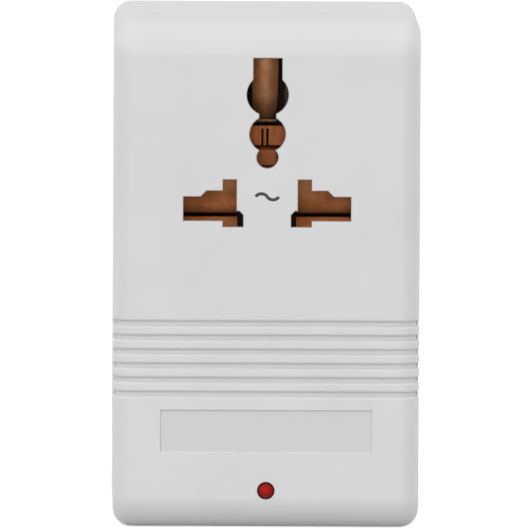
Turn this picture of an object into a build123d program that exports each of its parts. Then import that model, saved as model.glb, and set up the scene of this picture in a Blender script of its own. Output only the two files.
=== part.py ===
from build123d import *
import math
import os

# Step-down voltage converter, in millimetres. +Z is up, the front with the socket faces -Y, and
# the origin is the middle of the flat base.

# Case
case_width = 54.0
case_height = 90.7
case_depth = 46.0
wall = 2.2
side_edge_radius = 3.3
front_top_radius = 7.0
front_bottom_radius = 5.5
rear_edge_radius = 4.0
front_shell_depth = 10.0
lip_depth = 1.5
lip_clearance = 0.1
seam_depth = 0.35
seam_width = 0.4
rim_radius = 0.2
cut_margin = 1.0
hole_margin = 0.5

# Ribbed band and label recess on the front
groove_count = 6
groove_pitch = 2.5
groove_width = 0.8
groove_depth = 0.65
groove_shoulder = 0.42
groove_floor_radius = 0.19
groove_end_land = 0.9
top_groove_height = 36.32
label_width = 37.2
label_height = 7.3
label_depth = 0.26
label_centre_height = 17.3

# Socket openings, measured from the middle of the line that joins the two flat-pin openings
flat_pin_outer = 14.8
flat_pin_half_height = 2.17
round_pin_outer = 10.7
round_pin_top = 3.23
round_pin_chamfer = 1.06
blade_inner = 5.39
blade_outer = 7.85
blade_top = 5.2
foot_inner = 4.2
foot_bottom = -3.25
foot_top = -1.05
foot_chamfer = 0.7
earth_slot_half_width = 2.56
earth_slot_top = 26.65
earth_large_height = 20.14
earth_large_radius = 3.7
earth_neck_half_width = 1.5
earth_middle_height = 13.19
earth_middle_radius = 3.2
earth_small_height = 9.07
earth_small_radius = 1.93

# Contact carrier behind the front wall
carrier_depth = 19.9
carrier_wall = 1.2
cell_clearance = 0.8
pole_cell_inner = 4.0
pole_cell_bottom = -5.0
pole_cell_top = 6.0
earth_cell_half_width = 4.6
earth_cell_bottom = 7.1
earth_cell_top = 27.4
carrier_top_wall = 3.4
carrier_top_gap = 1.1
carrier_sheet_gap = 0.2
carrier_edge_chamfer = 1.0
ear_height = 14.0
ear_reach = 11.4
ear_width = 5.6
ear_thickness = 3.0
ear_post_length = 5.0
cover_thickness = 1.6
small_screw_radius = 1.0
small_head_radius = 1.9
small_head_height = 1.3

# Contacts
strip_thickness = 0.5
strip_bend_radius = 0.8
pole_strip_inner = 5.2
pole_strip_width = 9.9
pole_gap = 0.45
pole_throat_top = -1.55
leaf_setback = 2.4
leaf_slope_end = 5.2
leaf_flat_end = 11.0
leaf_rise_end = 13.5
lower_leaf_end = 3.6
lower_leaf_lead = 0.6
lower_leaf_gap = 1.2
tab_width = 3.0
tab_length = 5.4
tab_height = 2.0
earth_tongue_width = 4.8
earth_tongue_tip_width = 4.2
earth_contact_offset = -0.4
earth_tongue_arch_radius = 3.4
earth_plate_half_width = 3.7
earth_plate_bottom = 10.9
earth_plate_top = 14.35
earth_slit_half_width = 0.62
earth_slit_width = 0.36
earth_slit_land = 0.5
earth_leaf_thickness = 0.35
earth_tongue_lead = 0.2
earth_tongue_end = 6.2
earth_tongue_gap = 1.15
earth_tongue_tail = 0.3
earth_plate_setback = 0.9
earth_lip_gap = 0.2
earth_lip_width = 4.4
earth_lip_drop = 0.5
earth_web_gap = 0.5

# Indicator
led_height = 6.78
led_radius = 1.5
led_flange_radius = 1.9
led_flange_thickness = 1.0
led_stand_out = 0.8
led_clearance = 0.05
led_collar_radius = 2.8
led_collar_length = 1.3
lead_radius = 0.25
lead_spacing = 2.54
board_width = 24.0
board_height = 9.0
board_thickness = 1.0
board_centre_height = 10.4
board_gap = 3.5
board_screw_offset = 9.8
board_post_radius = 1.8
board_screw_length = 4.0
resistor_radius = 1.1
resistor_length = 5.0
diode_radius = 0.9
diode_length = 4.0
led_wire_radius = 0.5
led_wire_setback = 2.2

# Transformer
core_side_gap = 0.8
core_limb = 8.0
window_width = 8.0
core_screw_radius = 1.5
core_screw_inset = 4.0
core_head_radius = 2.8
core_head_height = 2.0
core_screw_engagement = 6.0
core_post_radius = 3.2
bobbin_clearance = 0.15
bobbin_wall = 1.0
flange_reach = 7.2
bobbin_case_gap = 1.6
winding_clearance = 0.05
inner_winding_thickness = 2.9
outer_winding_thickness = 2.6
tape_thickness = 0.3
sheet_thickness = 0.3
sheet_margin = 1.0
fuse_radius = 1.9
fuse_length = 10.0
fuse_lead_radius = 0.4
fuse_lead_length = 3.0

# Plug on the back
plug_drop = 26.0
boss_width = 36.0
boss_tall = 18.0
boss_depth = 18.0
boss_corner_radius = 6.5
boss_draft = 0.6
boss_root_radius = 1.0
boss_wall = 2.0
boss_end_thickness = 3.0
pin_spacing = 19.0
pin_radius = 2.4
pin_length = 19.0
pin_root_radius = 2.6
pin_clearance = 0.05
pin_flange_radius = 3.6
pin_flange_thickness = 1.2
pin_tail_radius = 1.5
pin_tail_length = 7.0
retainer_thickness = 1.8
retainer_width = 29.0
retainer_height = 9.0

# Screws that hold the two shells together
post_inset = 6.2
post_edge_distance = 5.9
post_radius = 2.8
head_post_radius = 3.5
case_screw_radius = 1.3
case_screw_clearance = 0.15
case_head_radius = 2.3
case_head_height = 1.6
case_head_depth = 9.0
case_screw_engagement = 6.0
core_post_clearance = 0.2

# Voltage selector in the right-hand side
selector_top_gap = 1.1
selector_cover_gap = 1.3
selector_travel = 4.0
knob_width = 4.6
knob_length = 6.2
knob_recess = 0.5
knob_groove = 0.5
knob_clearance = 0.2
foot_width = 6.6
foot_length = 9.0
foot_thickness = 2.0
selector_plate_thickness = 0.8
selector_plate_length = 31.0
selector_plate_corner = 1.5
selector_body_width = 12.0
selector_body_length = 21.0
selector_body_depth = 7.5
selector_cavity_depth = 3.4
selector_screw_spacing = 26.0
selector_screw_radius = 1.25
selector_head_radius = 2.2
selector_head_height = 1.2
terminal_row_spacing = 5.0
terminal_width = 1.6
terminal_thickness = 0.5
terminal_head = 0.6
terminal_reach = 4.5
bridge_thickness = 0.5
bridge_length = 5.4
bridge_clearance = 0.15

# Internal wires
wire_radius = 0.7
wire_body_gap = 3.0
wire_step = 5.0
flange_hole_inset = 1.2

# Places that several pieces share
half_width = case_width / 2
socket_height = case_height - wall - carrier_top_gap - carrier_top_wall - earth_cell_top
front_y = -case_depth / 2
rear_y = case_depth / 2
seam_y = front_y + front_shell_depth
inner_front = front_y + wall
inner_rear = rear_y - wall
inner_side = half_width - wall
cover_y = inner_front + carrier_depth
cover_back = cover_y + cover_thickness
boss_end = rear_y + boss_depth
boss_floor = boss_end - boss_end_thickness
flange_front = boss_floor - pin_flange_thickness
pin_tail_end = flange_front - pin_tail_length
plug_height = case_height - plug_drop
post_x = half_width - post_inset
post_low = post_edge_distance
post_high = case_height - post_edge_distance
case_post_places = [
    (-post_x, post_low),
    (post_x, post_low),
    (-post_x, post_high),
    (post_x, post_high),
]
case_head_seat = rear_y - case_head_depth
core_bottom = post_low + post_radius + core_post_clearance
core_top = (
    socket_height + pole_cell_bottom - carrier_wall - carrier_sheet_gap - sheet_thickness
)
core_height = core_top - core_bottom
window_height = core_height - 2 * core_limb
core_width = case_width - 2 * wall - 2 * core_side_gap
stack_depth = case_depth - 2 * wall - 2 * bobbin_case_gap - 2 * flange_reach
half_stack = stack_depth / 2
core_screw_x = core_width / 2 - core_screw_inset
core_screw_places = [
    (x, z)
    for x in (-core_screw_x, core_screw_x)
    for z in (core_bottom + core_screw_inset, core_top - core_screw_inset)
]
window_bottom = core_bottom + core_limb
window_top = window_bottom + window_height
bobbin_top = window_top - bobbin_clearance
bobbin_bottom = window_bottom + bobbin_clearance
limb_half_width = core_width / 2 - core_limb - window_width
flange_half_width = limb_half_width + window_width - bobbin_clearance
flange_half_depth = half_stack + flange_reach
fuse_y = half_stack + core_post_clearance + fuse_radius
head_post_start = half_stack + core_post_clearance
board_front = inner_front + led_collar_length + led_flange_thickness + board_gap
ear_back = inner_front + ear_post_length + ear_thickness
selector_y = cover_back + selector_cover_gap + selector_body_width / 2
selector_height = post_high - head_post_radius - selector_top_gap - selector_plate_length / 2


def front_plane(y):
    """Upright plane at y whose sketch reads x, z and whose normal points to the front."""
    return Plane.XZ.offset(-y)


def rear_plane(y):
    """Upright plane at y whose normal points to the back; its first coordinate is -x."""
    return Plane(origin=(0, y, 0), x_dir=(-1, 0, 0), z_dir=(0, 1, 0))


def side_plane(x):
    """Upright plane at x whose sketch reads y, z and whose normal points to the right."""
    return Plane.YZ.offset(x)


def case_block(inset):
    """The case's outer form, drawn in by inset on every side, as one solid."""
    front = front_y + inset
    rear = rear_y - inset
    bottom = inset
    top = case_height - inset
    corner_radii = [
        front_bottom_radius - inset,
        rear_edge_radius - inset,
        rear_edge_radius - inset,
        front_top_radius - inset,
    ]
    with BuildPart() as block:
        with BuildSketch(side_plane(inset - half_width)):
            with BuildLine():
                FilletPolyline(
                    (front, bottom), (rear, bottom), (rear, top), (front, top),
                    radius=corner_radii, close=True,
                )
            make_face()
        extrude(amount=case_width - 2 * inset)
        side_edges = block.faces().filter_by(Axis.X).edges()
        fillet(side_edges, radius=side_edge_radius - inset)
    return block


def make_screws(seat, places, head_radius, head_height, shaft_radius, shaft_length):
    """Pan-head screws with a cross recess. The seat plane's normal points out of the head."""
    recess_length = 1.3 * head_radius
    recess_width = 0.3 * head_radius
    with BuildPart() as group:
        with BuildSketch(seat):
            with Locations(*places):
                Circle(head_radius)
        extrude(amount=head_height)
        head_tops = group.faces().sort_by(Axis(seat.origin, seat.z_dir))[-len(places):]
        fillet(head_tops.edges(), radius=0.45 * head_height)
        with BuildSketch(seat):
            with Locations(*places):
                Circle(shaft_radius)
        extrude(amount=-shaft_length)
        with BuildSketch(seat.offset(head_height)):
            with Locations(*places):
                Rectangle(recess_length, recess_width)
                Rectangle(recess_width, recess_length)
        extrude(amount=-0.6 * head_height, mode=Mode.SUBTRACT)
    return group


def route_radii(points):
    """The largest arc at each inner corner that its two straight runs leave room for."""
    vectors = [Vector(point) for point in points]
    radii = []
    for before, corner, after in zip(vectors, vectors[1:], vectors[2:]):
        first_run = corner - before
        second_run = after - corner
        half_turn = math.radians(first_run.get_angle(second_run)) / 2
        shorter = min(first_run.length, second_run.length)
        radii.append(0.45 * shorter / math.tan(half_turn))
    return radii


def make_wire(name, points, radius):
    """A round wire along straight runs that tangent arcs join."""
    radii = route_radii(points)
    with BuildPart() as strand:
        with BuildLine() as route:
            FilletPolyline(*points, radius=radii)
        path = route.wires()[0]
        with BuildSketch(Plane(origin=path @ 0, z_dir=path % 0)):
            Circle(radius)
        sweep(path=path)
    expected = math.pi * radius**2 * path.length
    print(name, "radii", [round(value, 1) for value in radii],
          "volume ratio", round(strand.part.volume / expected, 4))
    return strand


def pole_outline(side):
    """Corners of a flat-pin opening, right for side 1 and left for side -1."""
    corners = [
        (flat_pin_outer, -flat_pin_half_height),
        (flat_pin_outer, flat_pin_half_height),
        (round_pin_outer + round_pin_chamfer, flat_pin_half_height),
        (round_pin_outer, round_pin_top),
        (blade_outer, round_pin_top),
        (blade_outer, blade_top),
        (blade_inner, blade_top),
        (blade_inner, foot_top + foot_chamfer),
        (foot_inner + foot_chamfer, foot_top + foot_chamfer),
        (foot_inner, foot_top),
        (foot_inner, foot_bottom),
        (blade_outer, foot_bottom),
        (blade_outer, -flat_pin_half_height),
    ]
    return [(side * x, socket_height + z) for x, z in corners]


outer_form = case_block(0)
inner_form = case_block(wall)

# Front shell: front wall with the socket openings, ribbed band, label recess and screw posts
with BuildPart() as front_shell:
    add(outer_form.part)
    add(inner_form.part, mode=Mode.SUBTRACT)
    split(bisect_by=Plane.XZ.offset(-seam_y), keep=Keep.TOP)
    with BuildSketch(front_plane(seam_y)):
        with Locations((0, case_height / 2)):
            RectangleRounded(
                case_width - wall, case_height - wall, side_edge_radius - wall / 2
            )
            RectangleRounded(
                case_width - 2 * wall, case_height - 2 * wall, side_edge_radius - wall,
                mode=Mode.SUBTRACT,
            )
    extrude(amount=lip_depth + lip_clearance, mode=Mode.SUBTRACT)
    with BuildSketch(front_plane(seam_y)):
        with Locations((0, case_height / 2)):
            Rectangle(case_width + wall, case_height + wall)
            RectangleRounded(
                case_width - 2 * seam_depth, case_height - 2 * seam_depth,
                side_edge_radius - seam_depth, mode=Mode.SUBTRACT,
            )
    extrude(amount=seam_width, mode=Mode.SUBTRACT)
    with BuildSketch(front_plane(seam_y)):
        with Locations(*case_post_places):
            Circle(post_radius)
    extrude(amount=seam_y - inner_front + wall / 2)
    with BuildSketch(front_plane(inner_front + ear_post_length)):
        with Locations((-ear_reach + ear_width / 2, socket_height + ear_height),
                       (ear_reach - ear_width / 2, socket_height + ear_height)):
            Circle(ear_width / 2)
    extrude(amount=ear_post_length + wall / 2)
    with BuildSketch(front_plane(inner_front + led_collar_length)):
        with Locations((0, led_height)):
            Circle(led_collar_radius)
    extrude(amount=led_collar_length + wall / 2)
    with BuildSketch(front_plane(board_front)):
        with Locations((-board_screw_offset, board_centre_height),
                       (board_screw_offset, board_centre_height)):
            Circle(board_post_radius)
    extrude(amount=board_front - inner_front + wall / 2)
    with BuildSketch(front_plane(inner_front + led_collar_length)):
        with Locations((0, led_height)):
            Circle(led_radius + led_clearance)
    extrude(amount=case_depth, mode=Mode.SUBTRACT)
    with BuildSketch(front_plane(inner_front)):
        for side in (-1, 1):
            with BuildLine():
                Polyline(*pole_outline(side), close=True)
            make_face()
        with Locations((0, socket_height + (earth_large_height + earth_slot_top) / 2)):
            Rectangle(2 * earth_slot_half_width, earth_slot_top - earth_large_height)
        with Locations((0, socket_height + earth_large_height)):
            Circle(earth_large_radius)
        with Locations((0, socket_height + (earth_large_height + earth_middle_height) / 2)):
            Rectangle(2 * earth_neck_half_width, earth_large_height - earth_middle_height)
        with Locations((0, socket_height + earth_middle_height)):
            Circle(earth_middle_radius)
        with Locations((0, socket_height + earth_small_height)):
            Circle(earth_small_radius)
    extrude(amount=wall + cut_margin, mode=Mode.SUBTRACT)
    with BuildSketch(front_plane(front_y + label_depth)):
        with Locations((0, label_centre_height)):
            Rectangle(label_width, label_height)
    extrude(amount=label_depth + cut_margin, mode=Mode.SUBTRACT)
    front_face = front_shell.faces().filter_by(Axis.Y).sort_by(Axis.Y)[0]
    for rim in front_face.inner_wires():
        fillet(rim.edges(), radius=rim_radius)
    with BuildSketch(front_plane(seam_y)):
        with Locations(*case_post_places):
            Circle(case_screw_radius)
    extrude(amount=case_screw_engagement + hole_margin, mode=Mode.SUBTRACT)
    with BuildSketch(front_plane(inner_front + ear_post_length)):
        with Locations((-ear_reach + ear_width / 2, socket_height + ear_height),
                       (ear_reach - ear_width / 2, socket_height + ear_height)):
            Circle(small_screw_radius)
    extrude(amount=ear_post_length, mode=Mode.SUBTRACT)
    with BuildSketch(front_plane(board_front)):
        with Locations((-board_screw_offset, board_centre_height),
                       (board_screw_offset, board_centre_height)):
            Circle(small_screw_radius)
    extrude(amount=board_screw_length, mode=Mode.SUBTRACT)
    for number in range(groove_count):
        groove_height = top_groove_height - number * groove_pitch
        with BuildLine(Plane.XY.offset(groove_height)) as groove_path:
            FilletPolyline(
                (-half_width, seam_y - groove_end_land), (-half_width, front_y),
                (half_width, front_y), (half_width, seam_y - groove_end_land),
                radius=side_edge_radius,
            )
        section_plane = Plane(
            origin=groove_path.line @ 0, x_dir=(-1, 0, 0), z_dir=groove_path.line % 0
        )
        with BuildSketch(section_plane) as groove_section:
            with Locations((wall / 2, 0)):
                Rectangle(wall, groove_pitch)
            Rectangle(2 * groove_depth, groove_width)
            floor_corners = groove_section.vertices().group_by(Axis.X)[0]
            fillet(floor_corners, radius=min(groove_floor_radius, 0.3 * groove_depth))
            shoulders = groove_section.vertices().filter_by(
                lambda corner: abs(corner.X) < 0.01 and abs(corner.Y) < groove_pitch / 2 - 0.01
            )
            fillet(shoulders, radius=min(groove_shoulder, 0.65 * groove_depth))
        sweep(path=groove_path.line, mode=Mode.SUBTRACT)

# Rear shell: tub with the plug boss, screw posts, core posts and the selector window
with BuildPart() as rear_shell:
    add(outer_form.part)
    add(inner_form.part, mode=Mode.SUBTRACT)
    split(bisect_by=Plane.XZ.offset(-seam_y), keep=Keep.BOTTOM)
    with BuildSketch(front_plane(seam_y)):
        with Locations((0, case_height / 2)):
            RectangleRounded(
                case_width - wall - 2 * lip_clearance, case_height - wall - 2 * lip_clearance,
                side_edge_radius - wall / 2 - lip_clearance,
            )
            RectangleRounded(
                case_width - 2 * wall, case_height - 2 * wall, side_edge_radius - wall,
                mode=Mode.SUBTRACT,
            )
    extrude(amount=lip_depth)
    with BuildSketch(rear_plane(inner_rear + wall / 2)):
        with Locations((0, plug_height)):
            RectangleRounded(boss_width, boss_tall, boss_corner_radius)
    with BuildSketch(rear_plane(boss_end)):
        with Locations((0, plug_height)):
            RectangleRounded(
                boss_width - 2 * boss_draft, boss_tall - 2 * boss_draft,
                boss_corner_radius - boss_draft,
            )
    loft(ruled=True)
    with BuildSketch(rear_plane(head_post_start)):
        with Locations(*case_post_places):
            Circle(head_post_radius)
    extrude(amount=inner_rear + wall / 2 - head_post_start)
    with BuildSketch(rear_plane(seam_y)):
        with Locations(*case_post_places):
            Circle(post_radius)
    extrude(amount=case_head_seat - seam_y)
    with BuildSketch(rear_plane(half_stack)):
        with Locations(*core_screw_places):
            Circle(core_post_radius)
    extrude(amount=inner_rear - half_stack + wall / 2)
    with BuildSketch(rear_plane(inner_rear - cut_margin)):
        with Locations((0, plug_height)):
            RectangleRounded(
                boss_width - 2 * boss_draft - 2 * boss_wall,
                boss_tall - 2 * boss_draft - 2 * boss_wall,
                boss_corner_radius - boss_draft - boss_wall,
            )
    extrude(amount=boss_floor - inner_rear + cut_margin, mode=Mode.SUBTRACT)
    with BuildSketch(rear_plane(flange_front)):
        with Locations((0, plug_height)):
            Circle(pin_flange_radius)
    extrude(amount=pin_flange_thickness + boss_end_thickness / 2)
    with BuildSketch(rear_plane(flange_front)):
        with Locations((0, plug_height)):
            Circle(small_screw_radius)
    extrude(amount=pin_flange_thickness + boss_end_thickness - cut_margin, mode=Mode.SUBTRACT)
    with BuildSketch(rear_plane(boss_floor)):
        with Locations((-pin_spacing / 2, plug_height), (pin_spacing / 2, plug_height)):
            Circle(pin_root_radius + pin_clearance)
    extrude(amount=boss_end_thickness, mode=Mode.SUBTRACT)
    with BuildSketch(rear_plane(case_head_seat)):
        with Locations(*case_post_places):
            Circle(case_head_radius + 2 * case_screw_clearance)
    extrude(amount=case_depth, mode=Mode.SUBTRACT)
    with BuildSketch(rear_plane(seam_y)):
        with Locations(*case_post_places):
            Circle(case_screw_radius + case_screw_clearance)
    extrude(amount=case_depth, mode=Mode.SUBTRACT)
    with BuildSketch(rear_plane(half_stack)):
        with Locations(*core_screw_places):
            Circle(core_screw_radius)
    extrude(amount=core_screw_engagement + hole_margin, mode=Mode.SUBTRACT)
    with BuildSketch(side_plane(inner_side)):
        with Locations((selector_y, selector_height)):
            Rectangle(
                knob_width + 2 * knob_clearance,
                knob_length + selector_travel + 2 * knob_clearance,
            )
    extrude(amount=wall + cut_margin, mode=Mode.SUBTRACT)
    with BuildSketch(side_plane(inner_side)):
        with Locations((selector_y, selector_height - selector_screw_spacing / 2),
                       (selector_y, selector_height + selector_screw_spacing / 2)):
            Circle(selector_screw_radius + case_screw_clearance)
    extrude(amount=wall + cut_margin, mode=Mode.SUBTRACT)
    with BuildSketch(side_plane(half_width - selector_head_height)):
        with Locations((selector_y, selector_height - selector_screw_spacing / 2),
                       (selector_y, selector_height + selector_screw_spacing / 2)):
            Circle(selector_head_radius + case_screw_clearance)
    extrude(amount=wall, mode=Mode.SUBTRACT)
    boss_rim = rear_shell.faces().filter_by(Axis.Y).sort_by(Axis.Y)[-1].outer_wire().edges()
    fillet(boss_rim, radius=boss_draft)
    rear_face = rear_shell.faces().filter_by(
        lambda face: face.geom_type == GeomType.PLANE and abs(face.center().Y - rear_y) < 0.01
    )[0]
    rear_wires = rear_face.inner_wires().sort_by(lambda rim: rim.length)
    fillet(rear_wires[-1].edges(), radius=boss_root_radius)
    hole_rims = rear_shell.edges().filter_by(GeomType.CIRCLE).filter_by(
        lambda edge: abs(edge.center().Y - rear_y) < 0.01
        and abs(edge.radius - case_head_radius - 2 * case_screw_clearance) < 0.01
    )
    fillet(hole_rims, radius=rim_radius)
    right_face = rear_shell.faces().filter_by(Axis.X).sort_by(Axis.X)[-1]
    for rim in right_face.inner_wires():
        fillet(rim.edges(), radius=rim_radius)

# Screws that join the two shells, driven from behind
case_screw_length = case_head_seat - seam_y + case_screw_engagement
housing_screws = make_screws(
    rear_plane(case_head_seat), case_post_places,
    case_head_radius, case_head_height, case_screw_radius, case_screw_length,
)

# Indicator: red LED with its two leads, pushed through the front wall from inside
led_tip = front_y - led_stand_out
led_seat = inner_front + led_collar_length
led_base = led_seat + led_flange_thickness
with BuildPart() as indicator_led:
    with BuildSketch(front_plane(led_base)):
        with Locations((0, led_height)):
            Circle(led_flange_radius)
    extrude(amount=led_flange_thickness)
    with BuildSketch(front_plane(led_seat)):
        with Locations((0, led_height)):
            Circle(led_radius)
    extrude(amount=led_seat - led_tip)
    fillet(indicator_led.edges().sort_by(Axis.Y)[0], radius=0.98 * led_radius)

lead_places = [(-lead_spacing / 2, led_height), (lead_spacing / 2, led_height)]
with BuildPart() as led_leads:
    with BuildSketch(front_plane(board_front + board_thickness)):
        with Locations(*lead_places):
            Circle(lead_radius)
    extrude(amount=board_front + board_thickness - led_base)

# Board with the indicator's resistor and diode on its front
board_screw_places = [
    (-board_screw_offset, board_centre_height),
    (board_screw_offset, board_centre_height),
]
with BuildPart() as led_board:
    with BuildSketch(front_plane(board_front + board_thickness)):
        with Locations((0, board_centre_height)):
            Rectangle(board_width, board_height)
        with Locations(*board_screw_places):
            Circle(small_screw_radius + case_screw_clearance, mode=Mode.SUBTRACT)
        with Locations(*lead_places):
            Circle(lead_radius, mode=Mode.SUBTRACT)
    extrude(amount=board_thickness)

board_screws = make_screws(
    rear_plane(board_front + board_thickness), board_screw_places,
    small_head_radius, small_head_height, small_screw_radius,
    board_thickness + board_screw_length - hole_margin,
)

component_height = board_centre_height + board_height / 4
with BuildPart() as led_resistor:
    with BuildSketch(side_plane(-resistor_length - lead_spacing / 2)):
        with Locations((board_front - resistor_radius, component_height)):
            Circle(resistor_radius)
    extrude(amount=resistor_length)
    fillet(led_resistor.edges(), radius=0.4 * resistor_radius)

with BuildPart() as led_diode:
    with BuildSketch(side_plane(lead_spacing / 2)):
        with Locations((board_front - diode_radius, component_height)):
            Circle(diode_radius)
    extrude(amount=diode_length)
    fillet(led_diode.edges(), radius=0.3 * diode_radius)

# Contact carrier: one open cell behind each opening, with ears that sit on the front shell's posts
carrier_half_width = flat_pin_outer + cell_clearance + carrier_wall
carrier_bottom = socket_height + pole_cell_bottom - carrier_wall
pole_block_top = socket_height + pole_cell_top + carrier_wall
carrier_top = socket_height + earth_cell_top + carrier_top_wall
earth_half_width = earth_cell_half_width + carrier_wall
top_round_start = case_height - front_top_radius
carrier_top_chamfer = max(carrier_edge_chamfer, carrier_top - top_round_start + lip_clearance)
ear_centre = ear_reach - ear_width / 2
ear_places = [(-ear_centre, socket_height + ear_height), (ear_centre, socket_height + ear_height)]
pole_cell_width = flat_pin_outer + cell_clearance - pole_cell_inner
pole_cell_centre = pole_cell_inner + pole_cell_width / 2
pole_cell_tall = pole_cell_top - pole_cell_bottom
cover_screw_places = [
    (0, socket_height),
    (0, socket_height + earth_cell_top + carrier_top_wall / 2),
]
with BuildPart() as contact_carrier:
    with BuildSketch(front_plane(cover_y)):
        with Locations((0, (carrier_bottom + pole_block_top) / 2)):
            Rectangle(2 * carrier_half_width, pole_block_top - carrier_bottom)
        with Locations((0, (carrier_bottom + carrier_top) / 2)):
            Rectangle(2 * earth_half_width, carrier_top - carrier_bottom)
    extrude(amount=carrier_depth)
    top_edges = contact_carrier.edges().filter_by(Axis.X).group_by(Axis.Z)[-1]
    chamfer(top_edges.sort_by(Axis.Y)[0], length=carrier_top_chamfer)
    with BuildSketch(front_plane(ear_back)):
        with Locations((0, socket_height + ear_height)):
            SlotOverall(2 * ear_reach, ear_width)
    extrude(amount=ear_thickness)
    with BuildSketch(front_plane(cover_y)):
        for side in (-1, 1):
            with Locations((side * pole_cell_centre,
                            socket_height + pole_cell_bottom + pole_cell_tall / 2)):
                Rectangle(pole_cell_width, pole_cell_tall)
        with Locations((0, socket_height + (earth_cell_bottom + earth_cell_top) / 2)):
            Rectangle(2 * earth_cell_half_width, earth_cell_top - earth_cell_bottom)
    extrude(amount=carrier_depth, mode=Mode.SUBTRACT)
    with BuildSketch(front_plane(ear_back)):
        with Locations(*ear_places):
            Circle(small_screw_radius + case_screw_clearance)
    extrude(amount=ear_thickness, mode=Mode.SUBTRACT)
    with BuildSketch(front_plane(cover_y)):
        with Locations(*cover_screw_places):
            Circle(small_screw_radius)
    extrude(amount=carrier_depth / 3, mode=Mode.SUBTRACT)

carrier_screws = make_screws(
    rear_plane(ear_back), ear_places, small_head_radius, small_head_height,
    small_screw_radius, ear_thickness + ear_post_length - hole_margin,
)

tab_places = [
    (side * (pole_strip_inner + pole_strip_width / 2), socket_height + tab_height)
    for side in (-1, 1)
]
with BuildPart() as carrier_cover:
    with BuildSketch(front_plane(cover_back)):
        with Locations((0, (carrier_bottom + pole_block_top) / 2)):
            Rectangle(2 * carrier_half_width, pole_block_top - carrier_bottom)
        with Locations((0, (carrier_bottom + carrier_top) / 2)):
            Rectangle(2 * earth_half_width, carrier_top - carrier_bottom)
        with Locations(*tab_places):
            Rectangle(tab_width + 2 * lip_clearance, strip_thickness + 2 * lip_clearance,
                      mode=Mode.SUBTRACT)
        with Locations(*cover_screw_places):
            Circle(small_screw_radius + case_screw_clearance, mode=Mode.SUBTRACT)
    extrude(amount=cover_thickness)

cover_screws = make_screws(
    rear_plane(cover_back), cover_screw_places, small_head_radius, small_head_height,
    small_screw_radius, cover_thickness + carrier_depth / 3 - hole_margin,
)

# Pole contacts: a bent strip whose two leaves make a sloped throat behind each opening
half_strip = strip_thickness / 2
web_y = cover_y - half_strip
leaf_front = inner_front + leaf_setback
upper_leaf = pole_throat_top + half_strip
lower_leaf = upper_leaf - pole_gap - strip_thickness
strip_top = pole_cell_top - half_strip - lip_clearance
strip_bottom = pole_cell_bottom + lower_leaf_gap


def pole_contact(side):
    """Bent bronze strip of one pole: sloped upper leaf, web, lower leaf and solder tab."""
    first_x = pole_strip_inner if side > 0 else -pole_strip_inner - pole_strip_width
    strip_points = [
        (leaf_front, strip_top),
        (leaf_front + leaf_slope_end, upper_leaf),
        (leaf_front + leaf_flat_end, upper_leaf),
        (leaf_front + leaf_rise_end, tab_height),
        (web_y, tab_height),
        (web_y, lower_leaf),
        (leaf_front + lower_leaf_end, lower_leaf),
        (leaf_front + lower_leaf_lead, strip_bottom),
    ]
    with BuildPart() as contact:
        with BuildSketch(side_plane(first_x)):
            with BuildLine():
                FilletPolyline(
                    *[(y, socket_height + z) for y, z in strip_points],
                    radius=[strip_bend_radius] * (len(strip_points) - 2),
                )
            trace(line_width=strip_thickness)
        extrude(amount=pole_strip_width)
        with BuildSketch(rear_plane(web_y - 2 * strip_bend_radius)):
            with Locations((-side * (pole_strip_inner + pole_strip_width / 2),
                            socket_height + tab_height)):
                Rectangle(tab_width, strip_thickness)
        extrude(amount=tab_length + 2 * strip_bend_radius)
    return contact


line_contact = pole_contact(-1)
neutral_contact = pole_contact(1)

# Earth contact: an arched tongue behind the slot and large circle, a slit plate behind the middle
# circle and a short lip under it, joined by a web at the back
tongue_top = (leaf_front + earth_tongue_lead, earth_cell_top - earth_tongue_gap)
tongue_end = (leaf_front + earth_tongue_end, earth_plate_top + earth_tongue_tail)
tongue_head = socket_height + tongue_top[1]
tongue_foot = socket_height + tongue_end[1]
tongue_left = earth_contact_offset - earth_tongue_width / 2
tongue_tip_left = earth_contact_offset - earth_tongue_tip_width / 2
lip_bottom = socket_height + earth_cell_bottom + earth_lip_gap
plate_y = leaf_front + earth_plate_setback
lip_y = plate_y + earth_plate_setback
lip_height = socket_height + earth_plate_bottom - earth_lip_drop
plate_middle = socket_height + (earth_plate_bottom + earth_plate_top) / 2
slit_height = earth_plate_top - earth_plate_bottom - earth_slit_land
tongue_drop = Vector(0, tongue_end[0] - tongue_top[0], tongue_end[1] - tongue_top[1])
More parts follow.
